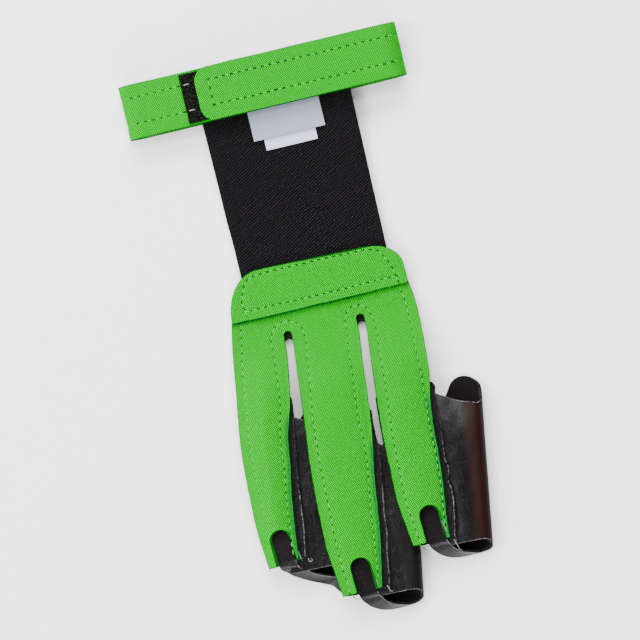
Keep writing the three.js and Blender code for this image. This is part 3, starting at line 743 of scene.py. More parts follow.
def paintShadeBands(x, y):
    # Painted shade: a darker band beside the strips' right edges and the notches' right legs, where the cloth turns
    # down into the seam, and a painted shadow line just below the yoke's lower edge
    total = 0 * x
    for key, wide, start in (("slotA", 1.6, -33), ("slotC", 1.6, -50), ("outerRight", 2.0, -38)):
        inside = edgeAt(key, y) - x
        band = (inside > -1) * (1 - ease(0.5 * wide, 1.25 * wide, inside)) * ease(0, 6, start - y)
        total = np.maximum(total, band)
    for notchX, _, end in fingerTips.values():
        leg = x - notchX - 0.5 * cuts["notch"]
        band = (leg > -1) * (1 - ease(0.5, 1.6, leg)) * ease(0, 7, end + 11 - y)
        total = np.maximum(total, 0.8 * band)
    # Painted shadow line on the cloth just below the yoke's lower edge
    underYoke = ease(1.2, 1.8, y) * (1 - 0.7 * ease(8, 32, x))
    return np.maximum(total, underYoke)


def makeHand():
    outline = handOutline(cuts["backTop"], cuts["slotTop"], cuts["slotRadius"], 0, 0, notchedTip)
    rows = list(handRows.values())

    def height(x, y):
        return stripHeight(x, y) - pinched(x, y, rows, stitch["dip"])
    back = cutSheet("greenFingerBack", outline, height, 0.45)
    points = np.empty((len(back.data.vertices), 3))
    back.data.vertices.foreach_get("co", points.ravel())
    points = points[:, :2] / mm - (originX, originY)
    # Painted shade bands and the yoke's painted shadow, stored for the cloth's colour
    paint(back, "deep", paintShadeBands(*points.T))
    thicken(back, layers["cloth"], bevel=0.3, rim=1)
    dress(back, "back_cloth", backGreen, clothRim)
    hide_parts("finger_back")

    liningOutline = handOutline(cuts["backTop"], cuts["liningTop"], cuts["slotRadius"] + cuts["liningInset"],
                                -cuts["liningInset"], 0.8, lambda name: (cuts["liningEnd"], np.empty((0, 2))))
    lining = cutSheet("blackLining", liningOutline,
                      lambda x, y: stripHeight(x, y) - layers["cloth"] / 2 - 0.12 - 0.45, 0.8)
    thicken(lining, 0.9)
    dress(lining, "lining", suede)
    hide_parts("finger_lining")
    stitchMesh("handStitches", rows, lambda x, y: height(x, y) + layers["cloth"] / 2, greenThread,
               "back_cloth", seed=5, shade=0.8)
    return height


# Each top corner of the yoke is a quarter ellipse: height of its top, reach across, reach along
yokeShape = {"bottom": 2.4, "left": (20.4, 13.6, 18.0), "right": (19.3, 12.9, 9.7), "inset": 0.3, "bow": 0.55}


def yokeOutline():
    left = float(edgeAt("outerLeft", yokeShape["bottom"])) + yokeShape["inset"]
    right = float(edgeAt("outerRight", yokeShape["bottom"])) - yokeShape["inset"]
    angle = np.linspace(0, np.pi / 2, 26)
    leftTop, leftX, leftY = yokeShape["left"]
    rightTop, rightX, rightY = yokeShape["right"]
    leftSide = np.column_stack([left + leftX * (1 - np.cos(angle)), leftTop - leftY * (1 - np.sin(angle))])
    rightSide = np.column_stack([right - rightX * (1 - np.cos(angle)), rightTop - rightY * (1 - np.sin(angle))])
    across = np.linspace(0, 1, 40)[1:-1]
    upper = np.column_stack([left + leftX + (right - rightX - left - leftX) * across,
                             leftTop + (rightTop - leftTop) * ease(0, 1, across)])
    under = np.linspace(right, left, 70)
    wave = 0.25 * np.sin(np.pi * (under - left) / (right - left))
    lower = np.column_stack([under, yokeShape["bottom"] - wave + 0.12 * ripple(under, 0 * under, 9, 8)])
    return np.concatenate([leftSide, upper, rightSide[::-1], lower])


def makeYoke():
    outline = yokeOutline()
    top = resample(np.array([(-27.4, 4.2), (-28.2, 9), (-26.9, 14), (-24.5, 17.4), (-21, 18.5), (-8, 18.7),
                             (10, 18.6), (23, 18.1), (26.5, 16.8), (29.2, 13), (30.6, 8), (31.6, 3.6)]), 1.0)
    bottom = np.column_stack([np.linspace(-28.2, 31.3, 60), 5.75 + 0.1 * np.sin(np.linspace(0, 9, 60))])
    rows = [top, bottom]
    under = layers["rest"] + layers["cloth"] + layers["gap"]

    def height(x, y):
        bow = yokeShape["bow"] * np.sin(np.pi * np.clip((x + 34) / 70, 0, 1))
        wave = 0.14 * ripple(x, y, 18, 12) + 0.04 * ripple(x, y, 6, 13)
        return under + bow + wave + layers["cloth"] / 2 - pinched(x, y, rows, stitch["dip"])
    yoke = cutSheet("greenYoke", outline, height, 0.4)
    thicken(yoke, layers["cloth"], bevel=0.3, rim=1)
    dress(yoke, "back_cloth", backGreen, clothRim)
    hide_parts("yoke")
    stitchMesh("yokeStitches", rows, lambda x, y: height(x, y) + layers["cloth"] / 2, greenThread,
               "back_cloth", seed=6, pitch=2.9, shade=1.1)


panel = {"left": -27.1, "right": 31.0, "top": 97.0, "bottom": 12.4, "taper": 0.9, "wall": 1.2,
         "under": 6.1, "dipTop": 79.0, "dipBottom": 44.0}


def panelHeight(x, y):
    # Middle of the elastic: it comes down from the strap, lies low and sags a little
    base = layers["rest"] + (panel["under"] - layers["rest"]) * ease(panel["dipBottom"], panel["dipTop"], y)
    free = ease(16, 30, y) * (1 - ease(66, 80, y))
    wave = 0.35 * ripple(x, y, 40, 21) + 0.12 * ripple(x, y, 15, 22)
    return base + free * wave + panel["wall"] / 2


def makePanel():
    y = np.linspace(panel["top"], panel["bottom"], 220)
    s = np.linspace(0, 1, 110)
    yy, ss = np.meshgrid(y, s, indexing="ij")
    down = (panel["top"] - yy) / (panel["top"] - panel["bottom"])
    left = panel["left"] + panel["taper"] * down + 0.12 * ripple(yy, 0 * yy, 24, 23)
    right = panel["right"] - panel["taper"] * down + 0.12 * ripple(yy, 0 * yy, 24, 24)
    xx = left + (right - left) * ss
    points = np.stack([xx, yy, panelHeight(xx, yy)], axis=-1).reshape(-1, 3)
    piece = makeMesh("elasticPanel", points, gridFaces(len(y), len(s))[:, ::-1], flat=points[:, :2])
    thicken(piece, panel["wall"], bevel=0.25)
    dress(piece, "elastic", blackElastic)
    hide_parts("back_panel")


labels = {
    "label_large": {"left": -9.35, "right": 18.3, "bottom": 67.6, "lift": 1.55, "finish": satinLabel, "slot": "label_satin"},
    "label_small": {"left": -5.5, "right": 14.4, "bottom": 63.3, "lift": 0.95, "finish": plainLabel, "slot": "label_plain"},
}


def makeLabel(node, size, top=88.0, wall=0.35):
    # Ribbon lying on the panel, curling up a little at its free end and corners
    y = np.linspace(top, size["bottom"], 60)
    x = np.linspace(size["left"], size["right"], 60)
    yy, xx = np.meshgrid(y, x, indexing="ij")
    low = np.clip((size["bottom"] + 7 - yy) / 7, 0, 1)
    side = np.abs(2 * (xx - size["left"]) / (size["right"] - size["left"]) - 1)
    lift = size["lift"] + low ** 2 * (0.25 + 0.35 * side ** 3) + 0.05 * ripple(xx, yy, 9, 31)
    z = panelHeight(xx, yy) - panel["wall"] / 2 + lift + wall / 2
    points = np.stack([xx, yy, z], axis=-1).reshape(-1, 3)
    piece = makeMesh(node.replace("label_", "bareLabel_"), points, gridFaces(60, 60)[:, ::-1], flat=points[:, :2])
    thicken(piece, wall, bevel=0.08)
    dress(piece, size["slot"], size["finish"])
    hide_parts(node)
    (size["right"] - size["left"]) * mm
    (top - size["bottom"]) * mm


# The strap: one ribbon round the flattened loop, seen from its edge as lines and half turns

strap = {"width": 20.5, "centre": 89.1, "left": -54.8, "right": 52.9, "hiddenEnd": 31.0, "tabEnd": -26.1,
         "corner": 5.6, "wall": 1.3, "under": 9.55, "over": 12.15, "rows": (5.3, -4.6), "rowEnd": 5.4}


def strapPath(distance):
    # Point and direction at a distance from the hidden end: along the under layer, round the left
    # fold, back along the surface, round the right fold and along the tab on top
    back = strap["wall"] / 2
    r1, r2 = (strap["under"] - back) / 2, (strap["over"] - back) / 2
    x1 = strap["left"] + strap["wall"] / 2 + r1
    x2 = strap["right"] - strap["wall"] / 2 - r2
    runs = np.cumsum([strap["hiddenEnd"] - x1, np.pi * r1, x2 - x1, np.pi * r2, x2 - strap["tabEnd"]])
    d = np.asarray(distance, float)
    a1 = np.pi / 2 + (d - runs[0]) / r1
    a2 = -np.pi / 2 + (d - runs[2]) / r2
    here = [d < runs[0], d < runs[1], d < runs[2], d < runs[3]]
    x = np.select(here, [strap["hiddenEnd"] - d, x1 + r1 * np.cos(a1), x1 + d - runs[1],
                         x2 + r2 * np.cos(a2)], x2 - (d - runs[3]))
    z = np.select(here, [strap["under"] + 0 * d, back + r1 + r1 * np.sin(a1), back + 0 * d,
                         back + r2 + r2 * np.sin(a2)], strap["over"] + 0 * d)
    dx = np.select(here, [-1 + 0 * d, -np.sin(a1), 1 + 0 * d, -np.sin(a2)], -1 + 0 * d)
    dz = np.select(here, [0 * d, np.cos(a1), 0 * d, np.cos(a2)], 0 * d)
    return x, z, dx, dz, runs


def makeStrap():
    _, _, _, _, runs = strapPath(0.0)
    length = runs[-1]
    corner = strap["corner"]
    straight = np.linspace(0, length - corner, 520)
    rounded = length - corner * (1 - np.sin(np.linspace(0, np.pi / 2, 16)[1:]))
    d = np.concatenate([straight, rounded])
    s = np.linspace(-1, 1, 44)
    dd, ss = np.meshgrid(d, s, indexing="ij")
    into = np.clip(corner - (length - dd), 0, corner)
    reach = strap["width"] / 2 - corner + np.sqrt(corner ** 2 - into ** 2)
    y = strap["centre"] + ss * reach + 0.12 * ripple(dd, 0 * dd, 30, 41)
    x, z, dx, dz, _ = strapPath(dd)
    flat = np.stack([dd, y - strap["centre"]], axis=-1).reshape(-1, 2)
    rows = strapRows(runs)
    groove = pinched(flat[:, 0], flat[:, 1], [r for r in rows], stitch["dip"]).reshape(dd.shape)
    onFloor = (dd > runs[1]) & (dd < runs[2])
    wave = np.where(onFloor, 0, 0.12 * ripple(dd, y, 22, 42) + 0.04 * ripple(dd, y, 6, 43))
    out = wave - groove * np.where(onFloor, 0, 1)
    x = x + dz * out
    z = z - dx * out
    points = np.stack([x, y, z], axis=-1).reshape(-1, 3)
    piece = makeMesh("greenStrap", points, gridFaces(len(d), len(s)), flat=flat)
    paint(piece, "fromEdge", (strap["width"] / 2 - np.abs(y - strap["centre"])).ravel())
    thicken(piece, strap["wall"], bevel=0.3, rim=1)
    dress(piece, "strap_cloth", strapGreen, clothRim)
    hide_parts("wrist_strap")
    x2 = strap["right"] - 1.6
    upper = [np.array([(x2, strap["centre"] + r), (strap["tabEnd"] + strap["rowEnd"], strap["centre"] + r)])
             for r in strap["rows"]]
    end = strap["tabEnd"] + strap["rowEnd"]
    upper.append(np.array([(end, strap["centre"] + strap["rows"][0]), (end, strap["centre"] + strap["rows"][1])]))
    lower = [np.array([(-53.4, strap["centre"] + r), (-32.4, strap["centre"] + r)]) for r in strap["rows"]]

    def topOf(level, foldX, turn):
        # Surface of a straight run that bends down into its fold at foldX
        radius = level / 2 + strap["wall"] / 4

        def read(x, y):
            past = np.clip(turn * (x - foldX), 0, 0.98 * radius)
            return level + strap["wall"] / 2 - 0.2 - radius + np.sqrt(radius ** 2 - past ** 2)
        return read
    stitchMesh("tabStitches", upper, topOf(strap["over"], strap["right"] - strap["over"] / 2, 1), greenThread,
               "strap_cloth", seed=7, shade=1.15)
    stitchMesh("strapStitches", lower, topOf(strap["under"], strap["left"] + strap["under"] / 2, -1),
               greenThread, "strap_cloth", seed=8, shade=1.0)


def strapRows(runs):
    # Stitch rows in the strap's own flat measures: distance along it, and across from its middle
    rows = []
    for r in strap["rows"]:
        rows.append(np.array([(runs[3] - 8, r), (runs[4] - strap["rowEnd"], r)]))
        rows.append(np.array([(strap["hiddenEnd"] + 20, r), (runs[0] + 8, r)]))
    rows.append(np.array([(runs[4] - strap["rowEnd"], strap["rows"][0]), (runs[4] - strap["rowEnd"], strap["rows"][1])]))
    return rows


def makePatch():
    # Hook tape: a flat base and rows of small bent hooks
    low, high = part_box("hook_patch")
    x0, x1 = low.x / mm - originX, high.x / mm - originX
    y0, y1 = low.y / mm - originY, high.y / mm - originY
    z0, z1 = low.z / mm, high.z / mm
    xs, ys = np.linspace(x0, x1, 60), np.linspace(y0, y1, 60)
    yy, xx = np.meshgrid(ys, xs, indexing="ij")
    zz = z0 + 0.18 + 0.02 * ripple(xx, yy, 4, 51)
    points = np.stack([xx, yy, zz], axis=-1).reshape(-1, 3)
    base = makeMesh("hookBase", points, gridFaces(60, 60), flat=points[:, :2])
    thicken(base, 0.35, bevel=0.05)
    dress(base, "hook_tape", hookTape)
    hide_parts("hook_patch")
    draw = np.random.default_rng(52)
    gx, gy = np.meshgrid(np.arange(x0 + 0.5, x1 - 0.3, 0.62), np.arange(y0 + 0.5, y1 - 0.3, 0.75))
    foot = np.column_stack([gx.ravel(), gy.ravel()]) + draw.normal(0, 0.05, (gx.size, 2))
    t = np.linspace(0, 1, 6)
    lean = draw.choice([-1, 1], len(foot))
    height = (z1 - z0 - 0.1) * draw.uniform(0.8, 1.0, len(foot))
    spineX = foot[:, 0, None] + lean[:, None] * 0.28 * (1 - np.cos(t * 2.6)) / 1.6
    spineZ = z0 + 0.3 + (height - 0.3)[:, None] * np.sin(t * 2.4) / 1.0
    sides = np.linspace(0, 2 * np.pi, 4, endpoint=False)
    thick = 0.09
    pts = np.empty((len(foot), 6, 4, 3))
    pts[..., 0] = spineX[..., None] + thick * np.cos(sides)
    pts[..., 1] = foot[:, 1, None, None] + thick * np.sin(sides)
    pts[..., 2] = spineZ[..., None]
    ring = gridFaces(6, 4)
    wrap = np.array([[r * 4 + 3, r * 4, r * 4 + 4, r * 4 + 7] for r in range(5)])
    cap = np.array([[20, 21, 22, 23]])
    cells = np.concatenate([ring, wrap, cap])
    faces = (cells[None] + (np.arange(len(foot)) * 24)[:, None, None]).reshape(-1, 4)
    hooks = makeMesh("hooks", pts.reshape(-1, 3), faces)
    dress(hooks, "hook_tape", hookTape)
    marks = [np.array([(-31.0, strap["centre"] + r), (-27.3, strap["centre"] + r)]) for r in strap["rows"]]
    stitchMesh("patchStitches", marks, lambda x, y: z1 - 0.1 + 0 * x, paleThread, "hook_tape", seed=9,
               shade=0)


# Finger stalls

stallEnds = {
    "at": (0, 0.06, 0.15, 0.22, 0.30, 0.36, 0.40, 0.42, 0.44, 0.465, 0.50, 0.54, 0.583, 0.62, 0.65, 0.69,
           0.74, 0.80, 0.85, 0.90, 0.95, 1),
    "wrist": (-0.065, -0.050, 0.020, 0.045, 0.060, 0.060, 0.055, 0.025, -0.028, -0.057, -0.068, -0.055,
              -0.020, 0.020, 0.079, 0.118, 0.107, 0.085, 0.053, 0.018, -0.015, -0.045),
    "tip": (0.952, 0.961, 0.970, 1.015, 1.065, 1.088, 1.093, 1.095, 1.096, 1.096, 1.096, 1.096, 1.091,
            1.074, 1.053, 1.016, 1.003, 1.001, 0.999, 0.998, 0.996, 0.995),
}
wristShare = smoothColumn(stallEnds["at"], stallEnds["wrist"])
tipShare = smoothColumn(stallEnds["at"], stallEnds["tip"])
stall = {"length": 57.5, "fold": 8.0, "wall": 1.2, "crest": 8.0, "sag": 0.4, "lowSeam": 4.2, "highSeam": 9.0,
         "inset": 3.8, "slantMiddle": 10.7}
stalls = (
    {"name": "left", "start": -37.5, "foldStart": 2.52, "foldEnd": -7.35, "slant": 0.42, "sewnBack": 0.5,
     "droop": 0.5, "trim": 0.04, "hidden": 0.26, "paleFrom": (55, 75), "raw": (-0.14, 0.91), "red": 0.15,
     "rawLine": ((-29.4, -18.4), (-33, -18.6), (-40, -19.9), (-50, -21.4), (-62, -23.3), (-70.4, -24.2),
                 (-78.8, -25.2), (-88.3, -27.0), (-94.5, -28.0))},
    {"name": "middle", "start": -53.2, "foldStart": 23.5, "foldEnd": 13.7, "slant": 0.0, "sewnBack": 0.5,
     "droop": 0.5, "trim": 0.01, "hidden": 0.30, "paleFrom": (66, 80), "raw": (-0.21, 0.985), "red": 0.1,
     "rawLine": ((-41.1, 9.9), (-48, 9.2), (-56, 9.4), (-65, 7.9), (-73.3, 6.9), (-79.6, 5.8), (-88.75, 4.7),
                 (-95.4, 3.3), (-100, 2.6), (-110, 0.6))},
    {"name": "right", "start": -40.77, "foldStart": 53.0, "foldEnd": 43.6, "slant": 0.0, "sewnBack": -0.4,
     "droop": 2.4, "trim": 0.01, "hidden": 0.30, "paleFrom": (50, 66), "raw": (-0.08, 0.985), "red": 1.0,
     "rawLine": ((-36.2, 34.4), (-37.8, 35.2), (-40, 35.0), (-45, 34.6), (-52.5, 34.1), (-60, 33.3), (-66, 32.8),
                 (-69.5, 33.3), (-74, 32.1), (-77.5, 32.4), (-84, 31.9), (-89, 30.8), (-94.5, 29.7), (-99.5, 29.4))},
)
wallParts = (0, 0.07, 0.2, 0.29, 0.55, 0.73, 1)


def foldAt(k, y):
    finger = stalls[k]
    return finger["foldStart"] + (finger["foldEnd"] - finger["foldStart"]) * (finger["start"] - y) / stall["length"]


def sectionPoint(k, place, y):
    # Middle of a stall's wall at a share of the way round: the sewn edge, the turn down over the
    # next stall, the turn onto the surface, the flat palm side, the half round fold, and the back
    edge = edgeAt(strips[k][0], y)
    sewnEdge = edge + stalls[k]["sewnBack"]
    fold = foldAt(k, y) - stall["fold"] / 2
    seam = edge + stall["inset"]
    low = k == 0
    high = stall["lowSeam"] if low else stall["highSeam"]
    middle = 0.45 * high if low else stall["fold"] / 2
    over = seam if low else np.maximum(foldAt(k - 1, y) - stall["fold"] / 2, seam + 0.5)
    outer, inner = high - middle, middle - stall["wall"] / 2
    sewn = edgeAt(strips[k][1], y) - stall["inset"]
    crest = stall["crest"] - stall["wall"] / 2
    radius = (stall["fold"] - stall["wall"]) / 2
    parts = wallParts
    t = [np.clip((place - parts[n]) / (parts[n + 1] - parts[n]), 0, 1) for n in range(6)]
    here = [place < parts[n + 1] for n in range(5)]
    a1, a2, a3 = np.pi / 2 * (1 - t[1]), np.pi * (1 + t[2] / 2), np.pi * (t[4] - 0.5)
    turnEnd = over + outer + inner
    bend = (fold + sewn) / 2
    x = np.select(here, [
        sewnEdge + (over - sewnEdge) * t[0], over + outer * np.cos(a1), turnEnd + inner * np.cos(a2),
        turnEnd + (fold - turnEnd) * t[3], fold + radius * np.cos(a3)],
        (1 - t[5]) ** 2 * fold + 2 * t[5] * (1 - t[5]) * bend + t[5] ** 2 * sewn)
    z = np.select(here, [
        high + 0 * t[0], middle + outer * np.sin(a1), middle + inner * np.sin(a2),
        stall["wall"] / 2 + 0 * t[3], stall["fold"] / 2 + radius * np.sin(a3)],
        crest - 2 * t[5] * (1 - t[5]) * stall["sag"])
    return x, z


def wallPoint(k, place, y, out):
    # Section point moved out of the wall by a distance, across the section's own direction
    step = 0.004
    ax, az = sectionPoint(k, np.clip(place - step, 0, 1), y)
    bx, bz = sectionPoint(k, np.clip(place + step, 0, 1), y)
    x, z = sectionPoint(k, place, y)
    size = np.hypot(bx - ax, bz - az)
    return x + (bz - az) / size * out, z - (bx - ax) / size * out


def makeStall(k):
    finger = stalls[k]
    around, along = 190, 110
    place = np.linspace(0, 1, around)
    share = np.linspace(0, 1, along)
    ss, pp = np.meshgrid(share, place, indexing="ij")
    notchX = fingerTips[finger["name"]][0]
    firstX, _ = sectionPoint(k, pp, finger["start"] - stall["length"] * ss)
    slope = finger["slant"] * (firstX - notchX - stall["slantMiddle"]) * (1 - ease(0.50, 0.62, pp))
    wrist = finger["start"] - stall["length"] * wristShare(pp)
    tip = finger["start"] - stall["length"] * (tipShare(pp) - finger["trim"] * (1 - ease(0.15, 0.28, pp))) - slope
    y = wrist + (tip - wrist) * ss
    x0, z0 = sectionPoint(k, pp, y)
    onTop = ease(0.60, 0.70, pp)
    bare = ease(0.27, 0.31, pp) * (1 - ease(0.60, 0.66, pp))
    crease = 0.12 * ripple(x0 * 2.2, y * 0.45, 14, 60 + k) + 0.06 * ripple(x0, y, 4.5, 70 + k)
    puff = 0.35 * ease(0.72, 0.8, pp) * (1 - ease(0.9, 1.0, pp)) * ripple(x0, y * 0.5, 16, 80 + k)
    fromWrist = wrist - y
    droop = finger["droop"] * ease(0.70, 0.80, pp) * np.clip(1 - fromWrist / 14, 0, 1) ** 1.8
    out = (1 - bare) * (crease * onTop + puff) - droop
    x, z = wallPoint(k, pp, y, out)
    points = np.stack([x, y, z], axis=-1).reshape(-1, 3)
    girth = stall["length"] * 1.15
    shell = makeMesh(f"leatherStall_{finger['name']}", points, gridFaces(along, around),
                     flat=np.stack([pp * girth, y], axis=-1).reshape(-1, 2))
    paint(shell, "fold", ease(0.57, 0.63, pp) * (1 - ease(0.73, 0.81, pp)))
    paint(shell, "fromEdge", np.minimum(wrist - y, y - tip))
    paint(shell, "red", finger["red"] + 0 * y)
    paint(shell, "edgeWidth", 0.32 + 0 * y)
    paint(shell, "pale", 0.15 + 0 * y)
    paint(shell, "worn", 0.35 + 0.65 * ease(0.60, 0.66, pp) * (1 - ease(0.76, 0.84, pp)))
    thicken(shell, stall["wall"], rim=2, inner=1)
    dress(shell, "stall_leather", blackLeather, suede, rawEdge)
    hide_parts(f"stall_{finger['name']}")


def makeFlange(k):
    # Raw seam edge beside the strip: leather that comes out from under the cloth and turns up, so
    # that its wavy cut edge faces the camera
    finger = stalls[k]
    along = 200
    share = np.linspace(0, 1, along)
    first, last = finger["raw"]
    yy = finger["start"] - stall["length"] * (first + (last - first) * share)
    edge = edgeAt(strips[k][1], yy)
    line = smoothColumn([-at for at, _ in finger["rawLine"]], [x for _, x in finger["rawLine"]])(-yy)
    line = line + 0.10 * ripple(yy, 0 * yy, 3.3, 95 + k) + 0.05 * ripple(yy, 0 * yy, 1.4, 96 + k)
    turn = 0.55
    start = edge - 0.8 * stall["inset"]
    low = stall["crest"] + 0.3
    rise = 1.15 + 0.30 * ripple(yy, 0 * yy, 9, 98 + k)
    run = np.linspace(0, 1, 12)
    bend = np.linspace(0, 1, 9)[1:]
    flatX = start[:, None] + (line - turn - start)[:, None] * run
    flatZ = low + 0 * flatX
    bendX = (line - turn)[:, None] + turn * np.sin(bend * np.pi / 2)
    bendZ = low + turn * (1 - np.cos(bend * np.pi / 2)) + 0 * bendX
    stand = np.linspace(0, 1, 5)[1:]
    standX = line[:, None] + 0.15 * stand * ripple(yy, 0 * yy, 5, 99 + k)[:, None]
    standZ = low + turn + np.maximum(rise - turn, 0.2)[:, None] * stand
    x = np.concatenate([flatX, bendX, standX], axis=1)
    z = np.concatenate([flatZ, bendZ, standZ], axis=1)
    y = np.broadcast_to(yy[:, None], x.shape)
    points = np.stack([x, y, z], axis=-1).reshape(-1, 3)
    flat = np.stack([x + z, y], axis=-1).reshape(-1, 2)
    piece = makeMesh(f"seamEdge_{finger['name']}", points, gridFaces(along, x.shape[1])[:, ::-1], flat=flat)
    low, high = finger["paleFrom"]
    paint(piece, "pale", 0 * x + (0.25 + 0.75 * ease(low, high, -y)))
    flatPart = np.arange(x.shape[1] - 1) < len(run) - 1
    piece.data.polygons.foreach_set("material_index", np.tile(2 * flatPart, along - 1).astype(np.int32))
    thicken(piece, 0.5, rim=1)
    dress(piece, "stall_leather", suede, rawEdge, blackLeather)


tabRows = {
    "ax": (-0.48, -0.48, -0.46, -0.38, -0.14, 0.19, 0.60, 1.04, 1.62, 2.18, 2.56),
    "ay": (0.34, -0.50, -1.20, -1.95, -2.35, -2.66, -2.88, -2.98, -3.00, -2.96, -2.80),
    "az": (1.16, 1.18, 1.18, 1.12, 0.86, 0.52, 0.25, 0.10, 0.07, 0.07, 0.10),
    "bx": (0.46, 0.46, 0.50, 0.58, 0.74, 0.96, 1.26, 1.60, 2.05, 2.45, 2.72),
    "by": (0.34, -0.50, -1.15, -1.88, -2.20, -2.48, -2.68, -2.81, -2.92, -2.89, -2.75),
    "bz": (1.06, 1.07, 1.07, 1.08, 0.98, 0.78, 0.66, 0.55, 0.44, 0.36, 0.33),
}
leaningTabRows = {
    "ax": (-0.48, -0.48, -0.46, -0.36, -0.13, 0.19, 0.60, 1.04, 1.60, 2.03, 2.40),
    "ay": (0.34, -0.50, -1.20, -1.90, -2.13, -2.43, -2.70, -2.95, -3.21, -3.45, -3.90),
    "az": (0.90, 0.92, 0.92, 0.87, 0.67, 0.41, 0.20, 0.09, 0.08, 0.08, 0.08),
    "bx": (0.46, 0.46, 0.50, 0.58, 0.74, 0.96, 1.26, 1.60, 2.05, 2.45, 2.72),
    "by": (0.34, -0.50, -1.15, -1.92, -2.11, -2.28, -2.51, -2.70, -2.89, -3.03, -3.20),
    "bz": (1.06, 1.07, 1.07, 1.06, 0.96, 0.82, 0.70, 0.60, 0.50, 0.42, 0.36),
}


def makeTab(k):
    # Tab from the palm side's tip up under the notch: a ribbon between two curves, bowed outwards
    finger = stalls[k]
    notchX, notchTop, _ = fingerTips[finger["name"]]
    rows = leaningTabRows if k == 0 else tabRows
    at = np.linspace(0, 1, len(rows["ax"]))
    t = np.linspace(0, 1, 150)
    curves = {key: smoothColumn(at, values)(t) for key, values in rows.items()}

    def edgeCurve(letter):
        return np.column_stack([notchX + curves[letter + "x"] * cuts["notch"],
                                notchTop + curves[letter + "y"] * cuts["notch"],
                                curves[letter + "z"] * stall["crest"]])
    first, second = edgeCurve("a"), edgeCurve("b")
    s = np.linspace(0, 1, 30)
    body = first[:, None, :] * (1 - s[None, :, None]) + second[:, None, :] * s[None, :, None]
    along = np.gradient(first + second, axis=0)
    normal = np.cross(second - first, along)
    normal /= np.linalg.norm(normal, axis=1)[:, None]
    up = np.where(normal[:, 2:] < 0, -1, 1) * normal
    free = ease(0.1, 0.4, t) * (1 - ease(0.85, 1, t))
    body = body - (0.2 * np.sin(np.pi * s)[None, :] * free[:, None])[..., None] * up[:, None, :]
    points = body.reshape(-1, 3)
    tt, sides = np.meshgrid(t, s, indexing="ij")
    flip = np.cross(body[0, 1] - body[0, 0], body[1, 0] - body[0, 0])[2] > 0
    faces = gridFaces(len(t), len(s))
    piece = makeMesh(f"tipTab_{finger['name']}", points, faces if flip else faces[:, ::-1],
                     flat=np.stack([tt * 40, sides * 7], axis=-1).reshape(-1, 2))
    width = np.linalg.norm(second - first, axis=1)[:, None]
    paint(piece, "fold", 0 * tt)
    paint(piece, "fromEdge", (1 - sides) * width)
    paint(piece, "edgeWidth", 0.34 + 0 * tt)
    paint(piece, "worn", 1 + 0 * tt)
    paint(piece, "pale", 0.10 + 0 * tt)
    shown = body[:, :, :2].reshape(-1, 2)
    height = body[:, :, 2].ravel() + 0.55

    def surface(x, y):
        near = ((np.ravel(x)[:, None] - shown[:, 0]) ** 2 + (np.ravel(y)[:, None] - shown[:, 1]) ** 2).argmin(1)
        return height[near].reshape(np.shape(x))
    seam = np.array([(notchX - 1.9, notchTop - 4.6), (notchX - 1.9, notchTop - 9.0), (notchX - 0.9, notchTop - 13.2)])
    stitchMesh(f"tabStitches_{finger['name']}", [seam, seam[:, :] + (1.5, 0.2)], surface, darkThread,
               "stall_leather", seed=40 + k, pitch=2.0, shade=0)
    notch = tt[:-1, :-1].ravel() < finger["hidden"]
    piece.data.polygons.foreach_set("material_index", notch.astype(np.int32))
    thicken(piece, 1.1, rim=2, inner=1)
    dress(piece, "stall_leather", blackLeather, suede, rawEdge)


threadTails = (
    ((15.4, -92.0, 10.4), (16.6, -94.6, 10.6), (17.4, -96.6, 9.6), (18.4, -97.9, 8.2)),
    ((16.0, -93.5, 10.5), (16.2, -95.8, 10.4), (17.6, -97.2, 8.8)),
    ((-14.2, -104.2, 10.4), (-13.4, -107.0, 10.7), (-12.0, -109.2, 9.4), (-10.9, -110.2, 8.0)),
    ((-13.0, -106.0, 10.5), (-12.9, -108.6, 10.0), (-11.6, -109.6, 8.6)),
    ((-31.4, -83.5, 9.4), (-29.6, -86.5, 9.7), (-29.0, -89.6, 9.4)),
)
tailEnds = (
    ((28.9, -96.0, 10.0), (29.6, -98.2, 9.8), (30.4, -100.2, 9.0), (31.2, -101.0, 8.6)),
    ((-30.4, -84.0, 9.6), (-29.2, -87.0, 9.9), (-28.6, -90.4, 9.7)),
    ((-3.6, -101.2, 10.4), (-3.0, -104.4, 10.6), (-2.6, -107.4, 10.2)),
    ((26.2, -88.0, 10.4), (26.9, -91.6, 10.6), (27.3, -94.8, 10.2)),
    ((-26.3, -90.2, 9.4), (-25.9, -91.4, 9.9), (-24.8, -91.2, 9.6), (-25.2, -90.3, 9.3)),
    ((0.4, -107.0, 9.4), (0.9, -108.6, 10.0), (1.6, -109.6, 9.6), (2.3, -109.3, 9.2)),
)


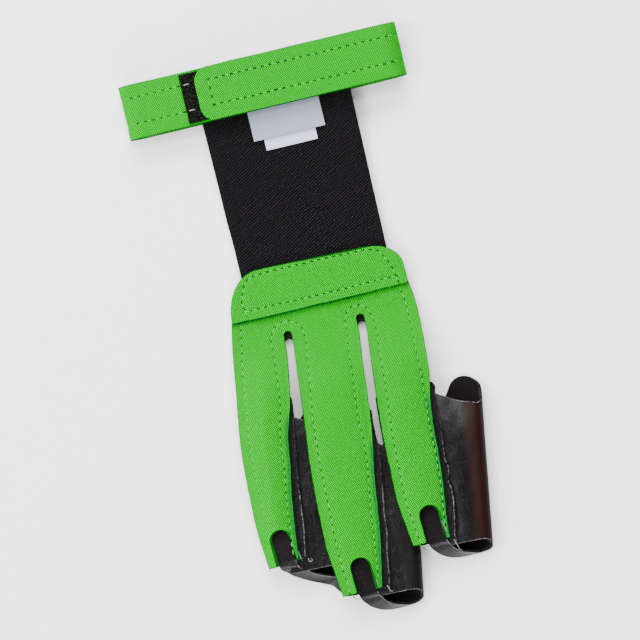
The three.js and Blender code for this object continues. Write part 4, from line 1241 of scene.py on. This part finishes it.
def makeTails(name, tails, material, radius=0.17):
    # Loose thread ends: round tubes along smooth curves, thinner towards the end
    angle = np.linspace(0, 2 * np.pi, 6, endpoint=False)
    allPoints, allFaces = [], []
    for n, tail in enumerate(tails):
        tail = np.array(tail, float)
        at = np.linspace(0, 1, len(tail))
        t = np.linspace(0, 1, 24)
        spine = np.column_stack([smoothColumn(at, tail[:, a])(t) for a in range(3)])
        spine[:, 0] += 0.12 * ripple(t * 9, 0 * t, 3, 120 + n)
        ahead = np.gradient(spine, axis=0)
        ahead /= np.linalg.norm(ahead, axis=1)[:, None]
        side = np.cross(ahead, (0.1, 0.2, 1.0))
        side /= np.linalg.norm(side, axis=1)[:, None]
        up = np.cross(side, ahead)
        width = radius * (1 - 0.7 * t ** 3)[:, None, None]
        ring = width * (np.cos(angle)[None, :, None] * side[:, None] + np.sin(angle)[None, :, None] * up[:, None])
        allPoints.append((spine[:, None] + ring).reshape(-1, 3))
        wrap = np.array([[r * 6 + 5, r * 6, r * 6 + 6, r * 6 + 11] for r in range(23)])
        allFaces.append(np.concatenate([gridFaces(24, 6), wrap]) + n * 24 * 6)
    return dress(makeMesh(name, np.concatenate(allPoints), np.concatenate(allFaces)), "back_cloth", material)


aimCamera()
for lamp in lamps:
    softLight(*lamp)
world = bpy.data.worlds.new("studio")
world.use_nodes = True
world.node_tree.nodes["Background"].inputs["Color"].default_value = (1, 1, 1, 1)
world.node_tree.nodes["Background"].inputs["Strength"].default_value = 0.45
bpy.context.scene.world = world
floor = makeMesh("floor", np.array([(-3000, -3000, 0), (3000, -3000, 0), (3000, 3000, 0), (-3000, 3000, 0)]),
                 np.array([[0, 1, 2, 3]]))
floor.data.materials.append(floorFinish())
print("camera, light and floor ready")

makeHand()
makeYoke()
print("hand ready")
makePanel()
for node, size in labels.items():
    makeLabel(node, size)
makeStrap()
makePatch()
print("strap, panel and labels ready")
for k in range(3):
    makeStall(k)
    makeFlange(k)
    makeTab(k)
makeTails("threadTails", threadTails, greenThread)
makeTails("threadEnds", tailEnds, paleThread)
print("stalls ready")
